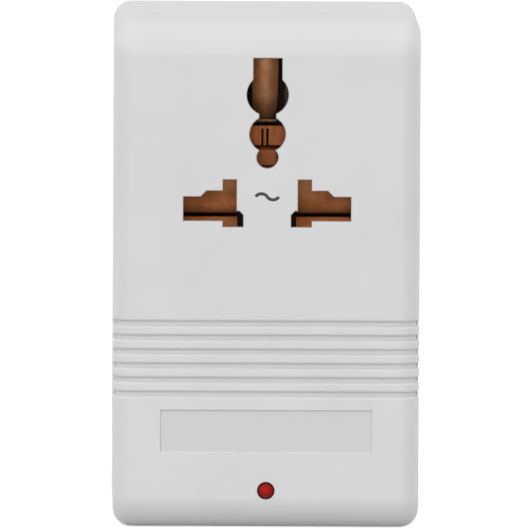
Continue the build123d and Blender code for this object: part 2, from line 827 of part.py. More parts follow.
with BuildPart() as earth_contact:
    tongue_start = Plane(
        origin=(earth_contact_offset, tongue_top[0], tongue_head),
        x_dir=(1, 0, 0), z_dir=tongue_drop,
    )
    with BuildSketch(tongue_start):
        with Locations((0, -earth_tongue_arch_radius)):
            Circle(earth_tongue_arch_radius)
            Circle(earth_tongue_arch_radius - strip_thickness, mode=Mode.SUBTRACT)
        with Locations((0, -2 * earth_tongue_arch_radius)):
            Rectangle(4 * earth_tongue_arch_radius, 2.6 * earth_tongue_arch_radius,
                      mode=Mode.SUBTRACT)
    extrude(amount=tongue_drop.length)
    with BuildSketch(front_plane(cover_y)):
        with BuildLine():
            Polyline(
                (tongue_left, tongue_head),
                (tongue_tip_left, tongue_foot - cut_margin),
                (tongue_tip_left + earth_tongue_tip_width, tongue_foot - cut_margin),
                (tongue_left + earth_tongue_width, tongue_head),
                close=True,
            )
        make_face()
    extrude(amount=carrier_depth, mode=Mode.INTERSECT)
    with BuildSketch(side_plane(tongue_tip_left)):
        with BuildLine():
            Polyline(
                (tongue_end[0] - strip_thickness, tongue_foot + half_strip),
                (web_y, tongue_foot + half_strip),
            )
        trace(line_width=strip_thickness)
    extrude(amount=earth_tongue_tip_width)
    with BuildSketch(front_plane(plate_y + strip_thickness)):
        with Locations((earth_contact_offset, plate_middle)):
            Rectangle(2 * earth_plate_half_width, earth_plate_top - earth_plate_bottom)
        for side in (-1, 1):
            slit_x = side * (earth_slit_half_width - earth_slit_width / 2)
            with Locations((earth_contact_offset + slit_x,
                            socket_height + earth_plate_bottom + slit_height / 2)):
                Rectangle(earth_slit_width, slit_height, mode=Mode.SUBTRACT)
    extrude(amount=strip_thickness)
    with BuildSketch(front_plane(cover_y)):
        for side in (-1, 1):
            leaf_x = side * (earth_slit_half_width + earth_leaf_thickness / 2)
            with Locations((earth_contact_offset + leaf_x, plate_middle)):
                Rectangle(earth_leaf_thickness, earth_plate_top - earth_plate_bottom)
    extrude(amount=cover_y - plate_y)
    with BuildSketch(side_plane(earth_contact_offset - earth_lip_width / 2)):
        with BuildLine():
            FilletPolyline(
                (lip_y, lip_bottom),
                (lip_y, lip_height),
                (web_y, lip_height),
                radius=[strip_bend_radius],
            )
        trace(line_width=strip_thickness)
    extrude(amount=earth_lip_width)
    with BuildSketch(front_plane(cover_y)):
        with Locations((earth_contact_offset,
                        socket_height + (earth_cell_bottom + earth_cell_top) / 2)):
            Rectangle(2 * earth_plate_half_width,
                      earth_cell_top - earth_cell_bottom - 2 * earth_web_gap)
    extrude(amount=strip_thickness)

# Transformer core: E laminations stacked front to back, closed by the I laminations on top
with BuildPart() as core_e_laminations:
    with BuildSketch(front_plane(half_stack)):
        with Locations((0, (core_bottom + window_top) / 2)):
            Rectangle(core_width, window_top - core_bottom)
        for side in (-1, 1):
            with Locations((side * (limb_half_width + window_width / 2),
                            window_bottom + window_height / 2)):
                Rectangle(window_width, window_height, mode=Mode.SUBTRACT)
        with Locations(*core_screw_places[0::2]):
            Circle(core_screw_radius + case_screw_clearance, mode=Mode.SUBTRACT)
    extrude(amount=stack_depth)

with BuildPart() as core_i_laminations:
    with BuildSketch(front_plane(half_stack)):
        with Locations((0, window_top + core_limb / 2)):
            Rectangle(core_width, core_limb)
        with Locations(*core_screw_places[1::2]):
            Circle(core_screw_radius + case_screw_clearance, mode=Mode.SUBTRACT)
    extrude(amount=stack_depth)

core_screws = make_screws(
    front_plane(-half_stack), core_screw_places, core_head_radius, core_head_height,
    core_screw_radius, stack_depth + core_screw_engagement,
)

# Bobbin on the middle limb, the two windings on it and the tape round them
tube_half_x = limb_half_width + bobbin_clearance + bobbin_wall
tube_half_y = half_stack + bobbin_clearance + bobbin_wall
with BuildPart() as bobbin:
    with BuildSketch(Plane.XY.offset(bobbin_bottom)):
        RectangleRounded(2 * flange_half_width, 2 * flange_half_depth, 2 * bobbin_wall)
    extrude(amount=bobbin_wall)
    with BuildSketch(Plane.XY.offset(bobbin_top - bobbin_wall)):
        RectangleRounded(2 * flange_half_width, 2 * flange_half_depth, 2 * bobbin_wall)
    extrude(amount=bobbin_wall)
    with BuildSketch(Plane.XY.offset(bobbin_bottom)):
        RectangleRounded(2 * tube_half_x, 2 * tube_half_y, bobbin_wall)
    extrude(amount=bobbin_top - bobbin_bottom)
    with BuildSketch(Plane.XY.offset(bobbin_bottom)):
        Rectangle(2 * (tube_half_x - bobbin_wall), 2 * (tube_half_y - bobbin_wall))
    extrude(amount=bobbin_top - bobbin_bottom, mode=Mode.SUBTRACT)


def wound_layer(inner_gap, thickness):
    """A layer that fills the bobbin between its flanges, inner_gap out from the tube."""
    outer_gap = inner_gap + thickness
    with BuildPart() as layer:
        with BuildSketch(Plane.XY.offset(bobbin_bottom + bobbin_wall)):
            RectangleRounded(
                2 * (tube_half_x + outer_gap), 2 * (tube_half_y + outer_gap),
                bobbin_wall + outer_gap,
            )
            RectangleRounded(
                2 * (tube_half_x + inner_gap), 2 * (tube_half_y + inner_gap),
                bobbin_wall + inner_gap, mode=Mode.SUBTRACT,
            )
        extrude(amount=bobbin_top - bobbin_bottom - 2 * bobbin_wall)
    return layer


outer_winding_gap = winding_clearance + inner_winding_thickness
tape_gap = outer_winding_gap + outer_winding_thickness
inner_winding = wound_layer(winding_clearance, inner_winding_thickness)
outer_winding = wound_layer(outer_winding_gap, outer_winding_thickness)
winding_tape = wound_layer(tape_gap, tape_thickness)

# Insulation sheet on the core, under the socket contacts
with BuildPart() as insulation_sheet:
    with BuildSketch(Plane.XY.offset(core_top)):
        Rectangle(core_width - 2 * sheet_margin, stack_depth + 2 * sheet_margin)
    extrude(amount=sheet_thickness)

# Thermal fuse on the bobbin's top flange, behind the core
fuse_height = bobbin_top + fuse_radius
with BuildPart() as thermal_fuse:
    with BuildSketch(side_plane(-fuse_length / 2)):
        with Locations((fuse_y, fuse_height)):
            Circle(fuse_radius)
    extrude(amount=fuse_length)
    fillet(thermal_fuse.edges(), radius=0.35 * fuse_radius)

with BuildPart() as fuse_leads:
    for first_x in (-fuse_length / 2 - fuse_lead_length, fuse_length / 2):
        with BuildSketch(side_plane(first_x)):
            with Locations((fuse_y, fuse_height)):
                Circle(fuse_lead_radius)
        extrude(amount=fuse_lead_length)


def plug_pin(side):
    """Round plug pin: domed free end, thicker root in the boss, flange and solder tail."""
    x = side * pin_spacing / 2
    tip_y = boss_end + pin_length
    with BuildPart() as pin:
        with BuildSketch(Plane.XY.offset(plug_height)):
            with BuildLine():
                Polyline(
                    (x, tip_y), (x, pin_tail_end), (x + pin_tail_radius, pin_tail_end),
                    (x + pin_tail_radius, flange_front), (x + pin_flange_radius, flange_front),
                    (x + pin_flange_radius, boss_floor), (x + pin_root_radius, boss_floor),
                    (x + pin_root_radius, boss_end), (x + pin_radius, boss_end),
                    (x + pin_radius, tip_y - pin_radius),
                )
                CenterArc((x, tip_y - pin_radius), pin_radius, 0, 90)
            make_face()
        revolve(axis=Axis((x, 0, plug_height), (0, 1, 0)))
    return pin


plug_pin_left = plug_pin(-1)
plug_pin_right = plug_pin(1)

# Plate that clamps the pins' flanges inside the boss, and its screw
with BuildPart() as pin_retainer:
    with BuildSketch(front_plane(flange_front)):
        with Locations((0, plug_height)):
            RectangleRounded(retainer_width, retainer_height, retainer_height / 3)
            Circle(small_screw_radius + case_screw_clearance, mode=Mode.SUBTRACT)
        with Locations((-pin_spacing / 2, plug_height), (pin_spacing / 2, plug_height)):
            Circle(pin_tail_radius + pin_clearance, mode=Mode.SUBTRACT)
    extrude(amount=retainer_thickness)

retainer_screw = make_screws(
    front_plane(flange_front - retainer_thickness), [(0, plug_height)],
    small_head_radius, small_head_height, small_screw_radius,
    retainer_thickness + pin_flange_thickness + boss_end_thickness - cut_margin - lip_clearance,
)

# Voltage selector: plate behind the window, body, slide with its knob, bridges and terminals
plate_inner = inner_side - selector_plate_thickness
body_inner = plate_inner - selector_body_depth
cavity_floor = plate_inner - selector_cavity_depth
foot_outer = plate_inner - bridge_clearance
foot_inner_x = foot_outer - foot_thickness
slide_centre = selector_height + selector_travel / 2
row_places = [
    (selector_y - terminal_row_spacing / 2, selector_height),
    (selector_y + terminal_row_spacing / 2, selector_height),
]
terminal_places = [
    (y, z + step * selector_travel) for y, z in row_places for step in (-1, 0, 1)
]
terminal_tip = body_inner - terminal_reach
selector_screw_places = [
    (selector_y, selector_height - selector_screw_spacing / 2),
    (selector_y, selector_height + selector_screw_spacing / 2),
]
with BuildPart() as selector_plate:
    with BuildSketch(side_plane(plate_inner)):
        with Locations((selector_y, selector_height)):
            RectangleRounded(selector_body_width, selector_plate_length, selector_plate_corner)
            Rectangle(
                knob_width + 2 * knob_clearance,
                knob_length + selector_travel + 2 * knob_clearance, mode=Mode.SUBTRACT,
            )
        with Locations(*selector_screw_places):
            Circle(selector_screw_radius, mode=Mode.SUBTRACT)
    extrude(amount=selector_plate_thickness)

with BuildPart() as selector_body:
    with BuildSketch(side_plane(body_inner)):
        with Locations((selector_y, selector_height)):
            Rectangle(selector_body_width, selector_body_length)
        with Locations(*terminal_places):
            Rectangle(terminal_width, terminal_thickness, mode=Mode.SUBTRACT)
    extrude(amount=selector_body_depth)
    with BuildSketch(side_plane(cavity_floor)):
        with Locations((selector_y, selector_height)):
            Rectangle(
                foot_width + 2 * knob_clearance,
                foot_length + selector_travel + 2 * knob_clearance,
            )
    extrude(amount=selector_cavity_depth, mode=Mode.SUBTRACT)

with BuildPart() as selector_terminals:
    with BuildSketch(side_plane(terminal_tip)):
        with Locations(*terminal_places):
            Rectangle(terminal_width, terminal_thickness)
    extrude(amount=cavity_floor + terminal_head - terminal_tip)

with BuildPart() as selector_slide:
    with BuildSketch(side_plane(foot_inner_x)):
        with Locations((selector_y, slide_centre)):
            Rectangle(foot_width, foot_length)
    extrude(amount=foot_thickness)
    with BuildSketch(side_plane(foot_outer)):
        with Locations((selector_y, slide_centre)):
            Rectangle(knob_width, knob_length)
    extrude(amount=half_width - knob_recess - foot_outer)
    knob_rim = selector_slide.faces().sort_by(Axis.X)[-1].edges()
    fillet(knob_rim, radius=0.6 * knob_groove)
    with BuildSketch(side_plane(half_width - knob_recess)):
        with GridLocations(0, knob_length / 4, 1, 3):
            with Locations((selector_y, slide_centre)):
                Rectangle(knob_width, knob_groove)
    extrude(amount=-knob_groove, mode=Mode.SUBTRACT)

with BuildPart() as selector_bridge:
    with BuildSketch(side_plane(foot_inner_x - bridge_thickness)):
        for row_y, row_z in row_places:
            with Locations((row_y, slide_centre)):
                Rectangle(terminal_width, bridge_length)
    extrude(amount=bridge_thickness)

selector_screws = make_screws(
    side_plane(half_width - selector_head_height), selector_screw_places,
    selector_head_radius, selector_head_height, selector_screw_radius,
    wall - selector_head_height + selector_plate_thickness + cut_margin,
)

# Internal wires, each from one solder point to the next
tail_left = (-pin_spacing / 2, pin_tail_end, plug_height)
tail_right = (pin_spacing / 2, pin_tail_end, plug_height)
fuse_left = (-fuse_length / 2 - fuse_lead_length, fuse_y, fuse_height)
fuse_right = (fuse_length / 2 + fuse_lead_length, fuse_y, fuse_height)
flange_y = flange_half_depth - flange_hole_inset
tab_end = web_y + tab_length
tab_z = socket_height + tab_height
tab_x = pole_strip_inner + pole_strip_width / 2
front_row = row_places[0][0]
rear_row = row_places[1][0]
upper_terminal = selector_height + selector_travel
lower_terminal = selector_height - selector_travel

wire_x = body_inner - wire_body_gap
output_wire_y = rear_row + 0.3 * wire_step
tap_x = 0.8 * wire_step
winding_end_x = flange_half_width - 1.27 * wire_step

live_input_wire = make_wire("live_input_wire", [
    tail_left,
    (-pin_spacing / 2, inner_rear - 0.4 * wire_step, plug_height),
    (-wire_x, fuse_y, plug_height - 1.6 * wire_step),
    (-wire_x, fuse_y, fuse_height),
    fuse_left,
], wire_radius)

fuse_wire = make_wire("fuse_wire", [
    fuse_right,
    (wire_x, fuse_y, fuse_height),
    (wire_x, fuse_y + 0.4 * wire_step, selector_height - 2 * wire_step),
    (terminal_tip - wire_step, rear_row + 0.8 * wire_step, selector_height - 0.6 * wire_step),
    (terminal_tip - 1.2 * wire_step, rear_row, selector_height),
    (terminal_tip, rear_row, selector_height),
], wire_radius)

high_tap_wire = make_wire("high_tap_wire", [
    (tap_x, flange_y, bobbin_top),
    (tap_x, flange_y, selector_height - 0.6 * wire_step),
    (terminal_tip - 1.4 * wire_step, rear_row + 0.5 * wire_step, upper_terminal),
    (terminal_tip - wire_step, rear_row, upper_terminal + 0.1 * wire_step),
    (terminal_tip, rear_row, upper_terminal),
], wire_radius)

low_tap_wire = make_wire("low_tap_wire", [
    (-tap_x, flange_y, bobbin_top),
    (-tap_x, flange_y, selector_height - 2.8 * wire_step),
    (terminal_tip - 2.4 * wire_step, output_wire_y, selector_height - 1.2 * wire_step),
    (terminal_tip - 1.4 * wire_step, rear_row, lower_terminal),
    (terminal_tip, rear_row, lower_terminal),
], wire_radius)

neutral_input_wire = make_wire("neutral_input_wire", [
    tail_right,
    (pin_spacing / 2, inner_rear - 0.2 * wire_step, plug_height),
    (terminal_tip - 2 * wire_step, front_row + 0.9 * wire_step, selector_height),
    (terminal_tip - 1.4 * wire_step, front_row, selector_height),
    (terminal_tip, front_row, selector_height),
], wire_radius)

line_output_wire = make_wire("line_output_wire", [
    (terminal_tip, front_row, upper_terminal),
    (terminal_tip - 1.6 * wire_step, front_row, upper_terminal),
    (-tab_x, output_wire_y, plug_height - 0.2 * wire_step),
    (-tab_x, output_wire_y, tab_z),
    (-tab_x, tab_end, tab_z),
], wire_radius)

neutral_output_wire = make_wire("neutral_output_wire", [
    (winding_end_x, flange_y, bobbin_top),
    (winding_end_x, flange_y, tab_z - 1.5 * wire_step),
    (tab_x, output_wire_y, tab_z),
    (tab_x, tab_end, tab_z),
], wire_radius)

led_wire_height = board_centre_height + board_height / 4
led_wire_y = board_front - led_wire_setback
led_wire_x = board_width / 4 + wire_step / 4


def led_wire(name, side):
    """Thin wire from the indicator's board up to the bobbin's lower flange."""
    x = side * led_wire_x
    return make_wire(name, [
        (x, board_front, led_wire_height),
        (x, led_wire_y, led_wire_height),
        (x, led_wire_y, bobbin_bottom),
    ], led_wire_radius)


led_wire_left = led_wire("led_wire_left", -1)
led_wire_right = led_wire("led_wire_right", 1)

pieces = {
    "front_shell": front_shell,
    "rear_shell": rear_shell,
    "housing_screws": housing_screws,
    "indicator_led": indicator_led,
    "led_leads": led_leads,
    "led_board": led_board,
    "board_screws": board_screws,
    "led_resistor": led_resistor,
    "led_diode": led_diode,
    "led_wire_left": led_wire_left,
    "led_wire_right": led_wire_right,
    "contact_carrier": contact_carrier,
    "carrier_screws": carrier_screws,
    "carrier_cover": carrier_cover,
    "cover_screws": cover_screws,
    "line_contact": line_contact,
    "neutral_contact": neutral_contact,
    "earth_contact": earth_contact,
    "core_e_laminations": core_e_laminations,
    "core_i_laminations": core_i_laminations,
    "core_screws": core_screws,
    "bobbin": bobbin,
    "inner_winding": inner_winding,
    "outer_winding": outer_winding,
    "winding_tape": winding_tape,
    "insulation_sheet": insulation_sheet,
    "thermal_fuse": thermal_fuse,
    "fuse_leads": fuse_leads,
    "plug_pin_left": plug_pin_left,
    "plug_pin_right": plug_pin_right,
    "pin_retainer": pin_retainer,
    "retainer_screw": retainer_screw,
    "selector_plate": selector_plate,
    "selector_body": selector_body,
    "selector_terminals": selector_terminals,
    "selector_slide": selector_slide,
    "selector_bridge": selector_bridge,
    "selector_screws": selector_screws,
    "live_input_wire": live_input_wire,
    "fuse_wire": fuse_wire,
    "high_tap_wire": high_tap_wire,
    "low_tap_wire": low_tap_wire,
    "neutral_input_wire": neutral_input_wire,
    "line_output_wire": line_output_wire,
    "neutral_output_wire": neutral_output_wire,
}
os.makedirs("parts", exist_ok=True)
for name, piece in pieces.items():
    piece.part.label = name
    export_step(piece.part, f"parts/{name}.step")
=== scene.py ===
import logging
import math
from dataclasses import dataclass, replace
from enum import Enum
from typing import Any

import bmesh
import bpy
from mathutils import Matrix, Vector


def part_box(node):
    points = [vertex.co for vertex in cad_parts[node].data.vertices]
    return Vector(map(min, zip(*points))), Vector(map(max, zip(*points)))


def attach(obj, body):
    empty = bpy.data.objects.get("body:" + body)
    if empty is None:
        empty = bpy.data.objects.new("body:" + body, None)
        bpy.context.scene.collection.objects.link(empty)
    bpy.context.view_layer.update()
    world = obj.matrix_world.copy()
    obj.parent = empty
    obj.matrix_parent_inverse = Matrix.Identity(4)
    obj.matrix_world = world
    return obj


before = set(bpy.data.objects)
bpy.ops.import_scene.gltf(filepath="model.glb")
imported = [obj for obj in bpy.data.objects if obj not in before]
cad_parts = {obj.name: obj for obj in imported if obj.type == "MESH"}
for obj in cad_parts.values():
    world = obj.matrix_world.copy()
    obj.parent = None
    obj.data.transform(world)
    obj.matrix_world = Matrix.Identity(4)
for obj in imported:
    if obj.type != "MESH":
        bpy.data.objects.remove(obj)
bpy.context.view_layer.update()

# The finishes, prints and studio of a plug-in step-down voltage converter, around its solids.
MM = 0.001
LOG = logging.getLogger("converter")
# Rays that the painted shade in crevices and the rounded edges of a finish take at each point.
CLOSE_RAYS = 6
# Openness from which neighbouring walls no longer paint shade into a finish.
FREE = 0.95
# Values between which nearly all of a noise texture lies.
NOISE_LOW, NOISE_HIGH = 0.3, 0.7
# Bands that a wave texture of scale 1 draws over 2 pi of its coordinate.
WAVE_BANDS = 20


class Rolled(Enum):
    """The way a strip or sheet was rolled, as how far its marks are drawn out along x, y and z."""

    ACROSS = (10.0, 1.0, 1.0)
    UPRIGHT = (1.0, 1.0, 10.0)
    NOT = (1.0, 1.0, 1.0)


def colour(code: str) -> tuple[float, float, float, float]:
    """Turns an sRGB hex colour to linear light.

    Args:
        code: The colour as "#RRGGBB".

    Returns:
        Red, green, blue and alpha.
    """
    channels = [int(code[start:start + 2], 16) / 255 for start in (1, 3, 5)]
    linear = [c / 12.92 if c <= 0.04045 else ((c + 0.055) / 1.055) ** 2.4 for c in channels]
    return (linear[0], linear[1], linear[2], 1.0)


def add_node(
    tree: bpy.types.NodeTree, kind: str, inputs: dict[Any, Any] | None = None, **settings: Any
) -> bpy.types.Node:
    """Adds a node with its settings, its values and its links.

    Args:
        tree: The node tree that it goes into.
        kind: Its type, without the "ShaderNode" in front.
        inputs: Its sockets by name or number, each with a value or the socket it is fed from.
        settings: The node's own properties.

    Returns:
        The new node.
    """
    node = tree.nodes.new("ShaderNode" + kind)
    for name, value in settings.items():
        setattr(node, name, value)
    for socket, value in (inputs or {}).items():
        if isinstance(value, bpy.types.NodeSocket):
            tree.links.new(value, node.inputs[socket])
        else:
            node.inputs[socket].default_value = value
    return node


class Surface:
    """A material while it is made: its tree, its shader and the piece's own coordinates."""

    def __init__(self, name: str, shader: dict[str, Any]) -> None:
        """Starts a material.

        Args:
            name: What the material is and how its surface was made.
            shader: The shader's own values, by socket.
        """
        self.material = bpy.data.materials.new(name)
        self.material.use_nodes = True
        self.tree = self.material.node_tree
        self.tree.nodes.clear()
        self.shader = add_node(self.tree, "BsdfPrincipled", shader)
        inputs = {"Surface": self.shader.outputs["BSDF"]}
        self.output = add_node(self.tree, "OutputMaterial", inputs)
        self.place = add_node(self.tree, "TexCoord").outputs["Object"]

    def patches(
        self, size: float, detail: float = 2.0, drawn: Rolled = Rolled.NOT
    ) -> bpy.types.NodeSocket:
        """Makes a patchy value from 0 to 1.

        Args:
            size: Width of a patch in millimetres.
            detail: How many finer layers it has.
            drawn: The way in which the patches are drawn out.

        Returns:
            The value's socket.
        """
        scale = tuple(1 / (size * MM * length) for length in drawn.value)
        spread = add_node(self.tree, "Mapping", {"Vector": self.place, "Scale": scale})
        inputs = {"Vector": spread.outputs["Vector"], "Scale": 1.0, "Detail": detail}
        return add_node(self.tree, "TexNoise", inputs).outputs[0]

    def tint(
        self, value: bpy.types.NodeSocket, low: Any, high: Any, start: float = 0.35,
        end: float = 0.65,
    ) -> bpy.types.NodeSocket:
        """Fades from one colour to another as a value passes a range.

        Args:
            value: What drives the fade.
            low: Colour, or its socket, at the start of the range.
            high: Colour, or its socket, at the end.
            start: Value at which the fade starts.
            end: Value at which it ends.

        Returns:
            The colour's socket.
        """
        span = {"Value": value, "From Min": start, "From Max": end}
        share = add_node(self.tree, "MapRange", span).outputs["Result"]
        return add_node(self.tree, "Mix", {0: share, 6: low, 7: high}, data_type="RGBA").outputs[2]

    def paint_crevice_shade(
        self, base: bpy.types.NodeSocket, dark: tuple[float, ...], reach: float, least: float = 0.0
    ) -> bpy.types.NodeSocket:
        """Paints shade into a colour where neighbouring walls come close.

        Args:
            base: The colour's socket.
            dark: Painted shade colour at the bottom of a narrow groove.
            reach: How far away a wall still counts, in millimetres.
            least: Openness at which the dark colour is full.

        Returns:
            The new colour's socket.
        """
        # Painted shade: near walls the colour fades to the dark colour, whatever the light.
        openness = add_node(
            self.tree, "AmbientOcclusion", {"Distance": reach * MM}, samples=CLOSE_RAYS,
            only_local=True,
        )
        return self.tint(openness.outputs["AO"], dark, base, least, FREE)

    def gloss(self, value: bpy.types.NodeSocket, low: float, high: float) -> None:
        """Lets the roughness follow a value.

        Args:
            value: What drives it.
            low: Roughness at the value's low patches.
            high: Roughness at its high patches.
        """
        span = {
            "Value": value, "From Min": NOISE_LOW, "From Max": NOISE_HIGH, "To Min": low,
            "To Max": high,
        }
        share = add_node(self.tree, "MapRange", span).outputs["Result"]
        self.tree.links.new(share, self.shader.inputs["Roughness"])

    def relief(self, height: bpy.types.NodeSocket, depth: float, edge: float) -> None:
        """Gives the surface a fine relief and slightly rounded edges.

        Args:
            height: The relief's height from 0 to 1.
            depth: Its full height in millimetres.
            edge: Radius of the edges in millimetres.
        """
        rounded = add_node(self.tree, "Bevel", {"Radius": edge * MM}, samples=CLOSE_RAYS)
        inputs = {
            "Strength": 1.0, "Distance": depth * MM, "Height": height,
            "Normal": rounded.outputs["Normal"],
        }
        raised = add_node(self.tree, "Bump", inputs)
        self.tree.links.new(raised.outputs["Normal"], self.shader.inputs["Normal"])

    def paint(self, base: bpy.types.NodeSocket) -> bpy.types.Material:
        """Feeds the base colour and gives the finished material.

        Args:
            base: The colour's socket.

        Returns:
            The material.
        """
        self.tree.links.new(base, self.shader.inputs["Base Color"])
        return self.material


@dataclass(frozen=True)
class Moulding:
    """A plastic moulding with the grain of its tool, faint flow clouds and painted shade in its
    crevices.

    Attributes:
        light: Colour of the paler clouds.
        dark: Colour of the darker clouds.
        crevice_shade: Painted shade colour where walls come close.
        roughness: Lowest and highest roughness.
        grain: Width of the tool's grain in millimetres.
        grain_depth: Height of the grain in millimetres.
        cloud: Width of a cloud in millimetres.
        crevice_reach: How far away a wall still paints shade into it, in millimetres.
        gloss_spread: Width of a glossier patch, in widths of the grain.
        edge: Radius of its edges in millimetres.
    """

    name: str
    light: str
    dark: str
    crevice_shade: str
    roughness: tuple[float, float]
    grain: float
    grain_depth: float
    cloud: float
    crevice_reach: float = 1.0
    ior: float = 1.5
    edge: float = 0.15
    gloss_spread: float = 6

    def make(self) -> bpy.types.Material:
        """Makes the moulding's material."""
        surface = Surface(self.name, {"IOR": self.ior})
        clouds = surface.patches(self.cloud, detail=3.0)
        base = surface.tint(clouds, colour(self.dark), colour(self.light))
        surface.gloss(surface.patches(self.grain * self.gloss_spread), *self.roughness)
        surface.relief(surface.patches(self.grain, detail=3.0), self.grain_depth, self.edge)
        # Painted shade in the crevices, on top of the clouds.
        return surface.paint(surface.paint_crevice_shade(base, colour(self.crevice_shade), self.crevice_reach))


@dataclass(frozen=True)
class Metal:
    """A bare or plated metal with patches of tarnish, the marks of rolling or turning and painted
    shade in its crevices.

    Attributes:
        bright: Colour of the clean patches.
        dull: Colour of the tarnished patches.
        crevice_shade: Painted shade colour where walls come close.
        roughness: Lowest and highest roughness.
        patch: Width of a patch in millimetres.
        mark: Width of a mark in millimetres.
        mark_depth: Depth of the marks in millimetres.
        drawn: The way in which the marks are drawn out.
        edge: Radius of its edges in millimetres.
        coat: Weight of a clear lacquer.
        metallic: How much bare metal shows through the tarnish.
        painted_depth_shade: Painted shade far behind the front, where less light reaches, or
            nothing.
        depth_shade_from: Place along y at which that painted shade starts, in millimetres.
        depth_shade_to: Place along y at which it is full, in millimetres.
        stain: Colour of the lower part, or nothing.
        stain_height: Height at which the stain ends, in millimetres.
        stain_fade: Height over which it fades, in millimetres.
        crevice_reach: How far away a wall still paints shade into it, in millimetres.
    """

    name: str
    bright: str
    dull: str
    crevice_shade: str
    roughness: tuple[float, float]
    patch: float
    mark: float
    mark_depth: float
    drawn: Rolled = Rolled.NOT
    edge: float = 0.1
    coat: float = 0.0
    metallic: float = 1.0
    painted_depth_shade: str = ""
    depth_shade_from: float = 0.0
    depth_shade_to: float = 0.0
    stain: str = ""
    stain_height: float = 0.0
    stain_fade: float = 0.2
    crevice_reach: float = 1.0

    def make(self) -> bpy.types.Material:
        """Makes the metal's material."""
        values = {"Metallic": self.metallic, "Coat Weight": self.coat, "Coat Roughness": 0.2}
        surface = Surface(self.name, values)
        tarnish = surface.patches(self.patch, detail=4.0)
        base = surface.tint(tarnish, colour(self.bright), colour(self.dull))
        axes = add_node(surface.tree, "SeparateXYZ", {"Vector": surface.place}).outputs
        if self.stain:
            span = ((self.stain_height - self.stain_fade) * MM, self.stain_height * MM)
            base = surface.tint(axes["Z"], colour(self.stain), base, *span)
        # Painted shade: the colour darkens towards the back of the cells along y, where less light
        # reaches.
        if self.painted_depth_shade:
            span = (self.depth_shade_from * MM, self.depth_shade_to * MM)
            base = surface.tint(axes["Y"], base, colour(self.painted_depth_shade), *span)
        marks = surface.patches(self.mark, detail=3.0, drawn=self.drawn)
        surface.gloss(marks, *self.roughness)
        surface.relief(marks, self.mark_depth, self.edge)
        # Painted shade in the crevices, on top of the tarnish.
        return surface.paint(surface.paint_crevice_shade(base, colour(self.crevice_shade), self.crevice_reach))


@dataclass(frozen=True)
class Turns:
    """Enamelled copper wire wound turn beside turn, up and down the bobbin."""

    name: str
    light: str
    dark: str
    pitch: float

    def make(self) -> bpy.types.Material:
        """Makes the winding's material, with one band for each turn: a painted highlight on its
        crest and painted shade between turns.
        """
        values = {"Metallic": 0.75, "Coat Weight": 0.8, "Coat Roughness": 0.15, "Roughness": 0.35}
        surface = Surface(self.name, values)
        scale = 2 * math.pi / (WAVE_BANDS * self.pitch * MM)
        turns = add_node(
            surface.tree, "TexWave", {"Vector": surface.place, "Scale": scale, "Distortion": 0.4},
            bands_direction="Z",
        ).outputs[1]
        # Painted highlight and shade: each turn's colour runs from dark between turns to light on
        # its crest.
        wires = surface.tint(
            turns, colour(self.dark), colour(self.light), start=0.05, end=0.8,
        )
        surface.relief(turns, depth=self.pitch / 3, edge=0.1)
        # Painted shade near walls, in the dark colour of the turns.
        return surface.paint(surface.paint_crevice_shade(wires, colour(self.dark), reach=1.5))


@dataclass(frozen=True)
class Stack:
    """Stamped sheets laid on each other from front to back, dipped in varnish."""

    name: str
    light: str
    dark: str
    varnish: str
    sheet: float

    def make(self) -> bpy.types.Material:
        """Makes the stack's material, each sheet a little different from the next."""
        surface = Surface(self.name, {"Metallic": 0.8, "Coat Weight": 0.4, "Coat Roughness": 0.3})
        depth = add_node(surface.tree, "SeparateXYZ", {"Vector": surface.place}).outputs["Y"]
        inputs = {0: depth, 1: 1 / (self.sheet * MM)}
        count = add_node(surface.tree, "Math", inputs, operation="MULTIPLY").outputs[0]
        number = add_node(surface.tree, "Math", {0: count}, operation="FLOOR").outputs[0]
        shade = add_node(surface.tree, "TexWhiteNoise", {"W": number}, noise_dimensions="1D")
        within = add_node(surface.tree, "Math", {0: count}, operation="FRACT").outputs[0]
        crown = add_node(surface.tree, "Math", {0: within, 1: 1.0}, operation="PINGPONG")
        sheets = surface.tint(
            shade.outputs["Value"], colour(self.dark), colour(self.light), start=0.0, end=1.0,
        )
        runs = surface.patches(5.0, detail=4.0, drawn=Rolled.UPRIGHT)
        base = surface.tint(runs, sheets, colour(self.varnish), start=0.55, end=0.7)
        scratches = surface.patches(0.8, detail=3.0, drawn=Rolled.ACROSS)
        surface.gloss(scratches, low=0.3, high=0.6)
        surface.relief(crown.outputs[0], depth=0.06, edge=0.1)
        # Painted shade near walls, in the dark colour of the sheets.
        return surface.paint(surface.paint_crevice_shade(base, colour(self.dark), reach=1.5))


@dataclass(frozen=True)
class Pressed:
    """Paper, fibre or film that was pressed or rolled to a sheet.

    Attributes:
        light: Colour of the paler fibres.
        dark: Colour of the darker fibres.
        roughness: Lowest and highest roughness.
        fibre: Width of a fibre in millimetres.
        fibre_depth: Height of the fibres in millimetres.
        drawn: The way in which the fibres lie.
        coat: Weight of a clear skin.
        gloss_spread: Width of a glossier patch, in widths of a fibre.
    """

    name: str
    light: str
    dark: str
    roughness: tuple[float, float]
    fibre: float
    fibre_depth: float
    drawn: Rolled = Rolled.ACROSS
    coat: float = 0.0
    gloss_spread: float = 5

    def make(self) -> bpy.types.Material:
        """Makes the sheet's material, streaked by its fibres."""
        surface = Surface(self.name, {"IOR": 1.5, "Coat Weight": self.coat, "Coat Roughness": 0.1})
        fibres = surface.patches(self.fibre, detail=5.0, drawn=self.drawn)
        surface.gloss(surface.patches(self.fibre * self.gloss_spread), *self.roughness)
        surface.relief(fibres, self.fibre_depth, edge=0.05)
        return surface.paint(surface.tint(fibres, colour(self.dark), colour(self.light)))


